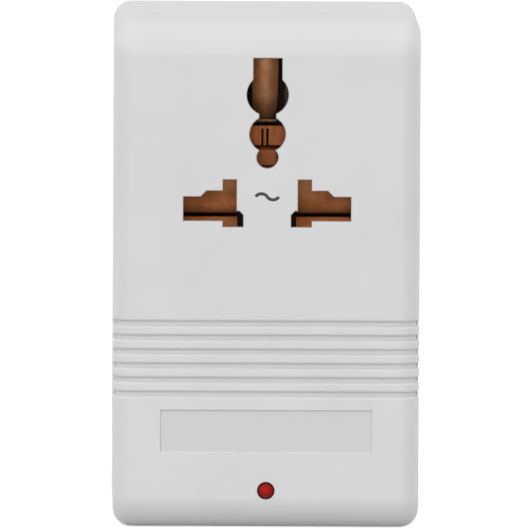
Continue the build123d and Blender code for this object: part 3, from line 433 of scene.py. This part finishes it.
@dataclass(frozen=True)
class Sleeve:
    """PVC drawn round a wire as its insulation."""

    name: str
    light: str
    dark: str

    def make(self) -> bpy.types.Material:
        """Makes the insulation's material."""
        surface = Surface(self.name, {"IOR": 1.53, "Coat Weight": 0.2, "Coat Roughness": 0.2})
        scuffs = surface.patches(1.5, detail=4.0)
        surface.gloss(scuffs, low=0.3, high=0.5)
        surface.relief(surface.patches(0.25), depth=0.01, edge=0.05)
        return surface.paint(surface.tint(scuffs, colour(self.dark), colour(self.light)))


@dataclass(frozen=True)
class Banded:
    """A small lacquered body with colour bands round it, which lies along x.

    Attributes:
        light: Colour of the thinner lacquer.
        dark: Colour of the thicker lacquer.
        bands: Each band's distance from the middle, width and colour, in millimetres.
        coat: Weight of the clear lacquer.
    """

    name: str
    light: str
    dark: str
    bands: tuple[tuple[float, float, str], ...]
    coat: float = 0.6

    def make(self, middle: Vector) -> bpy.types.Material:
        """Makes the body's material.

        Args:
            middle: The body's middle in metres.

        Returns:
            The material.
        """
        values = {"IOR": 1.52, "Coat Weight": self.coat, "Coat Roughness": 0.12}
        surface = Surface(self.name, values)
        lacquer = surface.patches(0.6, detail=3.0)
        base = surface.tint(lacquer, colour(self.dark), colour(self.light))
        along = add_node(surface.tree, "SeparateXYZ", {"Vector": surface.place}).outputs["X"]
        for place, width, code in self.bands:
            inputs = {0: along, 1: middle.x + place * MM, 2: width * MM / 2}
            band = add_node(surface.tree, "Math", inputs, operation="COMPARE").outputs[0]
            base = surface.tint(band, base, colour(code), start=0.0, end=1.0)
        surface.gloss(lacquer, low=0.25, high=0.4)
        surface.relief(lacquer, depth=0.02, edge=0.05)
        return surface.paint(base)


@dataclass(frozen=True)
class Lens:
    """A cast epoxy lens, darker towards its rim, where the shade of its hole is painted.

    Attributes:
        core: Colour at the middle.
        painted_rim_shade: Painted shade colour at the rim.
        radius: Its radius in millimetres.
        core_share: Share of the radius over which the middle's colour stays.
    """

    name: str
    core: str
    painted_rim_shade: str
    radius: float
    core_share: float = 0.35

    def make(self, middle: Vector) -> bpy.types.Material:
        """Makes the lens's material.

        Args:
            middle: A point on the lens's axis, which runs from front to back, in metres.

        Returns:
            The material.
        """
        values = {
            "IOR": 1.55, "Roughness": 0.3, "Specular IOR Level": 0.08, "Coat Weight": 0.05,
            "Coat Roughness": 0.08, "Subsurface Weight": 0.35, "Subsurface Scale": 0.001,
            "Subsurface Radius": (1.0, 0.2, 0.1),
        }
        surface = Surface(self.name, values)
        centred = add_node(
            surface.tree, "Mapping",
            {"Vector": surface.place, "Location": (-middle.x, 0.0, -middle.z), "Scale": (1, 0, 1)},
        )
        inputs = {0: centred.outputs["Vector"]}
        away = add_node(surface.tree, "VectorMath", inputs, operation="LENGTH").outputs["Value"]
        reach = self.radius * MM
        span = (self.core_share * reach, reach)
        # Painted shade: the colour darkens from the middle to the rim.
        base = surface.tint(away, colour(self.core), colour(self.painted_rim_shade), *span)
        surface.relief(surface.patches(0.8), depth=0.01, edge=0.05)
        return surface.paint(base)


@dataclass(frozen=True)
class CaseAbs:
    """White ABS from a spark-eroded tool, with a label place that was polished in the tool and
    painted shade in its crevices.

    Attributes:
        polished: Colour of the label place.
        label_size: Width and height of the label place in millimetres.
        label_height: Height of its middle in millimetres.
        label_floor: Place of its floor along y in millimetres.
        label_reach: How far from the floor a point still counts as it, in millimetres.
        crevice_reach: How far away a wall still paints shade into the case, in millimetres.
        crevice_least: Openness at which the painted crevice shade is darkest.
    """

    name: str = "abs_white_spark_eroded"
    light: str = "#DCDCDC"
    dark: str = "#D9D9D9"
    crevice_shade: str = "#CECECD"
    polished: str = "#D4D4D4"
    grain: float = 0.3
    grain_depth: float = 0.006
    gloss_spread: float = 8
    cloud: float = 14.0
    roughness: tuple[float, float] = (0.42, 0.5)
    edge: float = 0.2
    crevice_reach: float = 0.45
    crevice_least: float = 0.2
    label_size: tuple[float, float] = (37.2, 7.3)
    label_height: float = 17.3
    label_floor: float = -22.74
    label_reach: float = 0.25

    def make(self) -> bpy.types.Material:
        """Makes the case's material.

        The eroded tool leaves an even grain that turns highlights into a soft sheen. Its real
        pits of 0.05 mm are drawn 0.3 mm wide, which is what a pixel can show.
        """
        surface = Surface(self.name, {"IOR": 1.53})
        tree = surface.tree
        clouds = surface.patches(self.cloud, detail=3.0)
        base = surface.tint(clouds, colour(self.dark), colour(self.light))
        axes = add_node(tree, "SeparateXYZ", {"Vector": surface.place})
        width, height = self.label_size
        inside = [
            {0: axes.outputs["X"], 1: 0.0, 2: width * MM / 2},
            {0: axes.outputs["Z"], 1: self.label_height * MM, 2: height * MM / 2},
            {0: axes.outputs["Y"], 1: self.label_floor * MM, 2: self.label_reach * MM},
        ]
        here = [add_node(tree, "Math", span, operation="COMPARE").outputs[0] for span in inside]
        flat = add_node(tree, "Math", {0: here[0], 1: here[1]}, operation="MULTIPLY").outputs[0]
        label = add_node(tree, "Math", {0: flat, 1: here[2]}, operation="MULTIPLY").outputs[0]
        base = surface.tint(label, base, colour(self.polished), start=0.0, end=1.0)
        surface.gloss(surface.patches(self.grain * self.gloss_spread), *self.roughness)
        surface.relief(surface.patches(self.grain, detail=3.0), self.grain_depth, self.edge)
        # Painted shade in the grooves, seams and recesses of the case.
        crevice_shade = colour(self.crevice_shade)
        return surface.paint(surface.paint_crevice_shade(base, crevice_shade, self.crevice_reach, self.crevice_least))


# Phenolic resin keeps the smooth walls of its tool: warm brown, paler where dust sits.
CARRIER_PHENOLIC = Moulding(
    "phenolic_brown_compression_moulded", "#8A5A3E", "#6E4630", "#4A2C1C",
    roughness=(0.35, 0.5), grain=0.25, grain_depth=0.008, cloud=4.0, crevice_reach=2.0,
)
# Glass-filled nylon looks dull black with a fine mottle from the fibres at its skin.
BOBBIN_NYLON = Moulding(
    "nylon_black_glass_filled", "#232323", "#161616", "#090909",
    roughness=(0.4, 0.6), grain=0.2, grain_depth=0.012, cloud=2.0, crevice_reach=2.0,
)
# ABS without grain, black-brown, shows the sink marks of thick ribs as a soft unevenness.
RETAINER_ABS = Moulding(
    "abs_dark_injection_moulded", "#2A2724", "#1D1B19", "#0C0B0A",
    roughness=(0.35, 0.5), grain=0.3, grain_depth=0.006, cloud=5.0,
)
# Brown phenolic again, with the satin face of a small hardened tool.
SELECTOR_PHENOLIC = Moulding(
    "phenolic_brown_switch_moulding", "#33271D", "#231A13", "#0D0906",
    roughness=(0.35, 0.5), grain=0.25, grain_depth=0.008, cloud=3.0, crevice_reach=1.5,
)
# Acetal is slippery and slightly waxy, so the slide has soft highlights on its ribs.
SLIDE_ACETAL = Moulding(
    "acetal_black_moulded", "#1C1C1C", "#121212", "#050505",
    roughness=(0.28, 0.4), grain=0.25, grain_depth=0.005, cloud=2.0, crevice_reach=0.8,
    ior=1.48, edge=0.12,
)
# Spring bronze is tan and satin from rolling, with shade painted deep in the cells, where little
# light reaches.
CONTACT_BRONZE = Metal(
    "spring_bronze_rolled_tarnished", "#E4A573", "#C88858", "#62320F",
    roughness=(0.45, 0.6), patch=3.5, mark=0.3, mark_depth=0.005, drawn=Rolled.UPRIGHT,
    metallic=0.5, painted_depth_shade="#3C1E0E", depth_shade_from=-14.7, depth_shade_to=-11.8,
)
# The same strip, darker and redder on the slit plate and the lip, below a set height.
EARTH_BRONZE = replace(
    CONTACT_BRONZE, name="spring_bronze_rolled_darker_below", stain="#84440F", stain_height=71.6,
)
# Zinc with a clear passivation is blue-grey and slightly cloudy, with fine marks in the heads.
SCREW_ZINC = Metal(
    "steel_zinc_plated_rolled_thread", "#B9BCBE", "#8F9293", "#4A4A48",
    roughness=(0.25, 0.45), patch=0.9, mark=0.15, mark_depth=0.006,
)
# Bright nickel over turned brass keeps a warm tint and is nearly even, with a faint mottle.
PIN_NICKEL = Metal(
    "brass_nickel_plated_turned", "#CFCBC1", "#C5C0B5", "#6B675F",
    roughness=(0.19, 0.24), patch=6.0, mark=0.2, mark_depth=0.002, edge=0.25,
)
# Plated strip steel shows long faint lines of the rolling mill and a satin face.
PLATE_STEEL = Metal(
    "steel_nickel_plated_strip", "#B5B5B2", "#93938F", "#4C4B48",
    roughness=(0.25, 0.42), patch=2.0, mark=0.2, mark_depth=0.006, drawn=Rolled.UPRIGHT,
)
# Hot-dipped tin solders well and looks pale, soft and slightly lumpy.
TINNED_WIRE = Metal(
    "copper_wire_hot_tinned", "#C9C9C4", "#A3A39D", "#55544F",
    roughness=(0.3, 0.45), patch=0.5, mark=0.2, mark_depth=0.01,
)
# Plain pressed brass, yellow, with a brown bloom and painted shade in the corners of the press.
TERMINAL_BRASS = Metal(
    "brass_pressed", "#CDA85C", "#A07C3C", "#4A3413",
    roughness=(0.22, 0.4), patch=1.2, mark=0.2, mark_depth=0.008, drawn=Rolled.ACROSS,
)
# Clear lacquer over an aluminium can leaves a warm, glossy, slightly yellow body.
FUSE_CAN = Metal(
    "aluminium_can_lacquered", "#D8D0BC", "#BDB49E", "#6A6353",
    roughness=(0.25, 0.4), patch=1.5, mark=0.3, mark_depth=0.006, drawn=Rolled.ACROSS,
    edge=0.2, coat=0.6,
)
# Polyurethane enamel over copper: red-brown and glossy, with a thin painted highlight on each turn
# and painted shade between turns.
FINE_WINDING = Turns("copper_wire_enamelled_fine", "#B4622F", "#56240F", pitch=0.35)
THICK_WINDING = Turns("copper_wire_enamelled_thick", "#C06A34", "#5E2910", pitch=0.55)
# Silicon steel, 0.5 mm sheets with sheared edges, browned by the varnish that ran down them.
CORE_STACK = Stack(
    "silicon_steel_stamped_varnished", "#74747A", "#3C3C42", varnish="#4A3A26", sheet=0.5,
)
# Phenolic paper board: tan, with the weave of the paper showing through the resin.
BOARD_PAPER = Pressed(
    "phenolic_paper_board_pressed", "#A9804E", "#8A6238",
    roughness=(0.35, 0.5), fibre=0.4, fibre_depth=0.006,
)
# Vulcanised fibre is grey, matt and faintly streaked along the way it was calendered.
FIBRE_SHEET = Pressed(
    "vulcanised_fibre_calendered", "#747A6E", "#5C6157",
    roughness=(0.6, 0.75), fibre=0.5, fibre_depth=0.01,
)
# Polyester tape is smooth, yellow and glossy, with small wrinkles where it was pulled tight.
POLYESTER_TAPE = Pressed(
    "polyester_tape_wound", "#DDB63A", "#C79A24",
    roughness=(0.15, 0.3), fibre=1.2, fibre_depth=0.02, coat=0.5,
)
# PVC insulation, each colour as the trade uses it: soft gloss, scuffed where it was pulled.
SLEEVES = {
    "brown": Sleeve("pvc_brown_extruded", "#5C3420", "#442413"),
    "blue": Sleeve("pvc_blue_extruded", "#23509A", "#1A3D78"),
    "red": Sleeve("pvc_red_extruded", "#A91E1A", "#821512"),
    "black": Sleeve("pvc_black_extruded", "#1B1B1B", "#0F0F0F"),
}
# A carbon film resistor in beige lacquer with four bands round it.
RESISTOR_LACQUER = Banded(
    "ceramic_beige_lacquered", "#C9AE82", "#B79A6C",
    ((-1.5, 0.45, "#6B4A1E"), (-0.6, 0.4, "#1A1A1A"), (0.3, 0.4, "#C4611B"), (1.5, 0.4, "#A88733")),
)
# A glossy black epoxy diode with the pale band of its cathode.
DIODE_EPOXY = Banded("epoxy_black_moulded", "#171717", "#0C0C0C", ((1.2, 0.6, "#B9B9B6"),))
# Red epoxy with a diffuser in it, lit from outside: its own red at the middle, with painted shade
# darkening it outwards.
RED_LENS = Lens("epoxy_red_diffused_cast", core="#AC120B", painted_rim_shade="#5E0A0C", radius=1.5)
# Pad printing leaves a thin matt film with slightly soft edges.
PAD_INK = Pressed(
    "ink_black_pad_printed", "#2E2E30", "#232325",
    roughness=(0.5, 0.65), fibre=0.4, fibre_depth=0.002, drawn=Rolled.NOT,
)


def dress(node: str, material: bpy.types.Material) -> None:
    """Gives a CAD node its finish.

    Args:
        node: The node's name.
        material: Its material.
    """
    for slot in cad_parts[node].material_slots:
        slot.material = material
    LOG.info("%s: %s", node, material.name)


def middle_of(node: str) -> Vector:
    """Gives the middle of a CAD node's box, in metres."""
    low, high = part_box(node)
    return (Vector(low) + Vector(high)) / 2


def place_piece(
    name: str, mesh: bpy.types.Mesh, place: Matrix, material: bpy.types.Material
) -> bpy.types.Object:
    """Adds a new piece to the scene, with its place in its mesh.

    Args:
        name: The piece's name.
        mesh: Its mesh, in metres about its own middle.
        place: Where it goes.
        material: Its finish.

    Returns:
        The piece.
    """
    mesh.transform(place)
    mesh.materials.clear()
    mesh.materials.append(material)
    piece = bpy.data.objects.new(name, mesh)
    bpy.context.scene.collection.objects.link(piece)
    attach(piece, "converter")
    LOG.info("%s: %s", name, material.name)
    return piece


def facing(middle: Vector, right: Vector, up: Vector) -> Matrix:
    """Makes the place of a flat piece on a face.

    Args:
        middle: Where its middle goes.
        right: Where its first axis points.
        up: Where its second axis points.

    Returns:
        The matrix that takes it there.
    """
    turn = Matrix((right, up, right.cross(up))).transposed()
    return Matrix.Translation(middle) @ turn.to_4x4()


@dataclass
class CaseShells:
    """The two halves of the case, the screws that join them and the print on the front.

    Attributes:
        front: Place of the front's face along y in millimetres.
        mark_height: Height of the wave's middle in millimetres.
        mark_radius: Radius of each hump in millimetres.
        mark_angle: Angle that each hump turns through, in degrees.
        mark_stroke: Width of the line in millimetres.
        mark_steps: Steps of each hump.
        end_rounding: Radius of the line's ends, in widths of the line.
        end_steps: Steps of each rounded corner.
        weld: Distance at which corners are joined, in millimetres.
        film: How far the print stands out, and how far it goes in, in millimetres.
    """

    front: float = -23.0
    mark_height: float = 58.8
    mark_radius: float = 1.25
    mark_angle: float = 110.0
    mark_stroke: float = 0.55
    mark_steps: int = 14
    end_rounding: float = 0.35
    end_steps: int = 4
    weld: float = 0.001
    film: float = 0.03

    def build(self) -> None:
        """Dresses the shells and prints the wave mark."""
        plastic = CaseAbs().make()
        dress("front_shell", plastic)
        dress("rear_shell", plastic)
        dress("housing_screws", SCREW_ZINC.make())
        self.print_wave()

    def print_wave(self) -> None:
        """Prints the sign of alternating current between the openings.

        Two turns of one short edge, about middles on either side of it, make the wave's humps.
        """
        shape = bmesh.new()
        half_turn = math.radians(self.mark_angle / 2)
        radius = self.mark_radius * MM
        middle = Vector((-radius * math.sin(half_turn), -radius * math.cos(half_turn), 0))
        across = -middle.normalized() * self.mark_stroke * MM / 2
        ends = [shape.verts.new(across), shape.verts.new(-across)]
        start = shape.edges.new(ends)
        for centre in (middle, -middle):
            bmesh.ops.spin(
                shape, geom=[*ends, start], cent=centre, axis=(0, 0, 1), angle=2 * half_turn,
                steps=self.mark_steps, use_merge=False,
            )
        bmesh.ops.remove_doubles(shape, verts=shape.verts, dist=self.weld * MM)
        corners = [v for v in shape.verts if len(v.link_edges) == 2]
        bmesh.ops.bevel(
            shape, geom=corners, offset=self.end_rounding * self.mark_stroke * MM,
            affect="VERTICES", segments=self.end_steps, profile=0.5, material=-1,
        )
        bmesh.ops.recalc_face_normals(shape, faces=shape.faces)
        walls = bmesh.ops.extrude_face_region(shape, geom=list(shape.faces))
        raised = [item for item in walls["geom"] if isinstance(item, bmesh.types.BMVert)]
        bmesh.ops.translate(shape, verts=raised, vec=(0, 0, 2 * self.film * MM))
        bmesh.ops.recalc_face_normals(shape, faces=shape.faces)
        mesh = bpy.data.meshes.new("wave_mark")
        shape.to_mesh(mesh)
        shape.free()
        middle = Vector((0, (self.front + self.film) * MM, self.mark_height * MM))
        place = facing(middle, Vector((1, 0, 0)), Vector((0, 0, 1)))
        place_piece("wave_mark", mesh, place, PAD_INK.make())


@dataclass
class UniversalSocket:
    """The moulded carrier, its cover and the three bent contacts behind the openings."""

    poles: tuple[str, ...] = ("line_contact", "neutral_contact")

    def build(self) -> None:
        """Dresses the socket's pieces."""
        phenolic = CARRIER_PHENOLIC.make()
        zinc = SCREW_ZINC.make()
        bronze = CONTACT_BRONZE.make()
        for node in ("contact_carrier", "carrier_cover"):
            dress(node, phenolic)
        for node in ("carrier_screws", "cover_screws"):
            dress(node, zinc)
        for node in self.poles:
            dress(node, bronze)
        dress("earth_contact", EARTH_BRONZE.make())


@dataclass
class Indicator:
    """The red lamp in the front and the small board behind it."""

    lens: Lens = RED_LENS

    def build(self) -> None:
        """Dresses the lamp, its board and its wires."""
        dress("indicator_led", self.lens.make(middle_of("indicator_led")))
        dress("led_leads", TINNED_WIRE.make())
        dress("led_board", BOARD_PAPER.make())
        dress("board_screws", SCREW_ZINC.make())
        dress("led_resistor", RESISTOR_LACQUER.make(middle_of("led_resistor")))
        dress("led_diode", DIODE_EPOXY.make(middle_of("led_diode")))
        dress("led_wire_left", SLEEVES["red"].make())
        dress("led_wire_right", SLEEVES["black"].make())


@dataclass
class Transformer:
    """The core, its windings and the thermal fuse on them."""

    def build(self) -> None:
        """Dresses the transformer."""
        core = CORE_STACK.make()
        dress("core_e_laminations", core)
        dress("core_i_laminations", core)
        dress("core_screws", SCREW_ZINC.make())
        dress("bobbin", BOBBIN_NYLON.make())
        dress("inner_winding", FINE_WINDING.make())
        dress("outer_winding", THICK_WINDING.make())
        dress("winding_tape", POLYESTER_TAPE.make())
        dress("insulation_sheet", FIBRE_SHEET.make())
        dress("thermal_fuse", FUSE_CAN.make())
        dress("fuse_leads", TINNED_WIRE.make())


@dataclass
class WallPlug:
    """The two pins in the back and what holds them."""

    def build(self) -> None:
        """Dresses the plug."""
        nickel = PIN_NICKEL.make()
        dress("plug_pin_left", nickel)
        dress("plug_pin_right", nickel)
        dress("pin_retainer", RETAINER_ABS.make())
        dress("retainer_screw", SCREW_ZINC.make())


@dataclass
class VoltageSelector:
    """The slide switch in the right-hand side, with a plain number at each end of its way.

    Attributes:
        side: Place of the side's face along x in millimetres.
        depth: Place of the numbers' middles along y in millimetres.
        figure_height: Height of the numbers in millimetres.
        capital_share: Height of a number as a share of its font's size.
        film: How far the print stands out, and how far it goes in, in millimetres.
        figures: Each number and the height of its middle in millimetres.
    """

    side: float = 27.0
    depth: float = 8.0
    figure_height: float = 2.1
    capital_share: float = 0.72
    film: float = 0.03
    figures: tuple[tuple[str, float], ...] = (("220", 72.7), ("110", 56.7))

    def build(self) -> None:
        """Dresses the switch and prints its numbers."""
        steel = PLATE_STEEL.make()
        brass = TERMINAL_BRASS.make()
        dress("selector_plate", steel)
        dress("selector_body", SELECTOR_PHENOLIC.make())
        dress("selector_terminals", brass)
        dress("selector_slide", SLIDE_ACETAL.make())
        dress("selector_bridge", brass)
        dress("selector_screws", SCREW_ZINC.make())
        ink = PAD_INK.make()
        for figure, height in self.figures:
            self.print_figure(figure, height, ink)

    def print_figure(self, figure: str, height: float, ink: bpy.types.Material) -> None:
        """Prints one number on the side of the case.

        Args:
            figure: The number.
            height: How high its middle is, in millimetres.
            ink: The print's material.
        """
        text = bpy.data.curves.new("figure_" + figure, "FONT")
        text.body = figure
        text.size = self.figure_height * MM / self.capital_share
        text.align_x = "CENTER"
        text.align_y = "CENTER"
        text.extrude = self.film * MM
        holder = bpy.data.objects.new("figure_shape", text)
        mesh = bpy.data.meshes.new_from_object(holder)
        bpy.data.objects.remove(holder)
        middle = Vector((self.side * MM, self.depth * MM, height * MM))
        place = facing(middle, Vector((0, 1, 0)), Vector((0, 0, 1)))
        place_piece("figure_" + figure, mesh, place, ink)


@dataclass
class InternalWiring:
    """The insulated wires between the plug, the fuse, the windings, the switch and the socket."""

    colours: tuple[tuple[str, str], ...] = (
        ("live_input_wire", "brown"),
        ("fuse_wire", "brown"),
        ("high_tap_wire", "red"),
        ("low_tap_wire", "black"),
        ("neutral_input_wire", "blue"),
        ("line_output_wire", "brown"),
        ("neutral_output_wire", "blue"),
    )

    def build(self) -> None:
        """Dresses the wires."""
        made = {name: sleeve.make() for name, sleeve in SLEEVES.items()}
        for node, name in self.colours:
            dress(node, made[name])


@dataclass
class Studio:
    """A white room with a pale floor, soft light all round and the photograph's view.

    Attributes:
        ambient: Strength of the room's own light.
        lamps: Each lamp's name, degrees to the right of the front, degrees above the floor,
            width in degrees and strength.
        floor_reach: Radius of the floor in metres.
        floor_sides: Sides of the floor's outline.
        floor_grey: Colour of the floor in the light.
        floor_glow: How much light the camera sees from the floor besides.
        camera_place: Place of the camera in millimetres.
        yaw: Degrees by which it looks to the right of straight ahead.
        pitch: Degrees by which it looks down.
        roll: Degrees by which it is tilted.
        focal_pixels: Its focal length in pixels of the photograph.
        image_width: Width of the photograph in pixels.
        sensor: Width of the sensor in millimetres.
        near: Nearest distance that it shows, in metres.
        far: Farthest distance that it shows, in metres.
    """

    ambient: float = 0.42
    lamps: tuple[tuple[str, float, float, float, float], ...] = (
        ("lamp_left", -58.0, 48.0, 70.0, 1.0),
        ("lamp_right", 58.0, 46.0, 70.0, 0.62),
        ("lamp_front", -5.0, 7.0, 24.0, 0.9),
        ("lamp_back_left", -120.0, 5.0, 30.0, 0.4),
        ("lamp_back_right", 120.0, 5.0, 30.0, 0.55),
    )
    floor_reach: float = 4.0
    floor_sides: int = 96
    floor_grey: str = "#C0C0C0"
    floor_glow: float = 0.72
    camera_place: tuple[float, float, float] = (-42.71, -2990.2, 283.1)
    yaw: float = 0.818
    pitch: float = 4.554
    roll: float = 0.305
    focal_pixels: float = 16889.0
    image_width: float = 530.0
    sensor: float = 36.0
    near: float = 0.05
    far: float = 20.0

    def build(self) -> None:
        """Sets up the room, the lamps and the camera."""
        self.light_room()
        self.lay_floor()
        for lamp in self.lamps:
            self.hang_lamp(*lamp)
        self.set_camera()
        bpy.context.scene.view_settings.view_transform = "Standard"

    def seen_straight(self, tree: bpy.types.NodeTree) -> bpy.types.NodeSocket:
        """Tells rays from the camera and from shiny or clear surfaces from the light's own.

        Args:
            tree: The node tree that asks.

        Returns:
            A value that is 1 for such rays.
        """
        path = add_node(tree, "LightPath").outputs
        shiny = {0: path["Is Glossy Ray"], 1: path["Is Transmission Ray"]}
        both = add_node(tree, "Math", shiny, operation="ADD").outputs[0]
        inputs = {0: both, 1: path["Is Camera Ray"]}
        return add_node(tree, "Math", inputs, operation="ADD", use_clamp=True).outputs[0]

    def light_room(self) -> None:
        """Makes the room's light, which the camera sees as plain white."""
        world = bpy.data.worlds.new("white_room")
        bpy.context.scene.world = world
        world.use_nodes = True
        tree = world.node_tree
        tree.nodes.clear()
        soft = add_node(tree, "Background", {"Color": (1, 1, 1, 1), "Strength": self.ambient})
        seen = add_node(tree, "Background", {"Color": (1, 1, 1, 1), "Strength": 1.0})
        inputs = {0: self.seen_straight(tree), 1: soft.outputs[0], 2: seen.outputs[0]}
        mixed = add_node(tree, "MixShader", inputs)
        add_node(tree, "OutputWorld", {"Surface": mixed.outputs[0]})

    def lay_floor(self) -> None:
        """Lays the pale floor, which glows a little to the camera and keeps its shadows."""
        shape = bmesh.new()
        bmesh.ops.create_circle(
            shape, cap_ends=True, radius=self.floor_reach, segments=self.floor_sides,
        )
        mesh = bpy.data.meshes.new("floor")
        shape.to_mesh(mesh)
        shape.free()
        floor = bpy.data.objects.new("floor", mesh)
        bpy.context.scene.collection.objects.link(floor)
        values = {
            "Base Color": colour(self.floor_grey), "Roughness": 0.9, "Specular IOR Level": 0.0,
        }
        surface = Surface("paper_pale_matt", values)
        tree = surface.tree
        glow = add_node(tree, "Emission", {"Strength": self.floor_glow})
        none = add_node(tree, "Emission", {"Strength": 0.0})
        inputs = {0: self.seen_straight(tree), 1: none.outputs[0], 2: glow.outputs[0]}
        added = add_node(tree, "MixShader", inputs)
        inputs = {0: surface.shader.outputs[0], 1: added.outputs[0]}
        both = add_node(tree, "AddShader", inputs)
        tree.links.new(both.outputs[0], surface.output.inputs["Surface"])
        mesh.materials.append(surface.material)

    def hang_lamp(
        self, name: str, around: float, above: float, spread: float, strength: float
    ) -> None:
        """Hangs one soft lamp.

        Args:
            name: The lamp's name.
            around: Degrees to the right of the front.
            above: Degrees above the floor.
            spread: Its width in degrees, seen from the object.
            strength: Its strength.
        """
        lamp = bpy.data.lights.new(name, "SUN")
        lamp.energy = strength
        lamp.angle = math.radians(spread)
        holder = bpy.data.objects.new(name, lamp)
        turn, rise = math.radians(around), math.radians(above)
        towards = Vector((
            math.sin(turn) * math.cos(rise), -math.cos(turn) * math.cos(rise), math.sin(rise),
        ))
        holder.rotation_euler = towards.to_track_quat("Z", "Y").to_euler()
        holder.location = towards
        bpy.context.scene.collection.objects.link(holder)

    def set_camera(self) -> None:
        """Puts the camera where the photograph was taken from."""
        camera = bpy.data.cameras.new("camera")
        camera.sensor_width = self.sensor
        camera.lens = self.focal_pixels * self.sensor / self.image_width
        camera.clip_start = self.near
        camera.clip_end = self.far
        turn, drop, tilt = (math.radians(a) for a in (self.yaw, self.pitch, self.roll))
        ahead = Vector((
            math.sin(turn) * math.cos(drop), math.cos(turn) * math.cos(drop), -math.sin(drop),
        ))
        level = Vector((math.cos(turn), -math.sin(turn), 0.0))
        upright = level.cross(ahead)
        right = level * math.cos(tilt) + upright * math.sin(tilt)
        up = upright * math.cos(tilt) - level * math.sin(tilt)
        holder = bpy.data.objects.new("camera", camera)
        axes = Matrix((right, up, -ahead)).transposed().to_4x4()
        holder.matrix_world = Matrix.Translation(Vector(self.camera_place) * MM) @ axes
        bpy.context.scene.collection.objects.link(holder)
        bpy.context.scene.camera = holder


def main() -> None:
    """Builds and dresses every sub-assembly in order, then sets up the studio."""
    logging.basicConfig(level=logging.INFO, format="%(name)s %(message)s")
    for assembly in (
        CaseShells(), UniversalSocket(), Indicator(), Transformer(), WallPlug(),
        VoltageSelector(), InternalWiring(), Studio(),
    ):
        assembly.build()
        LOG.info("%s done", type(assembly).__name__)


if __name__ == "__main__":
    main()
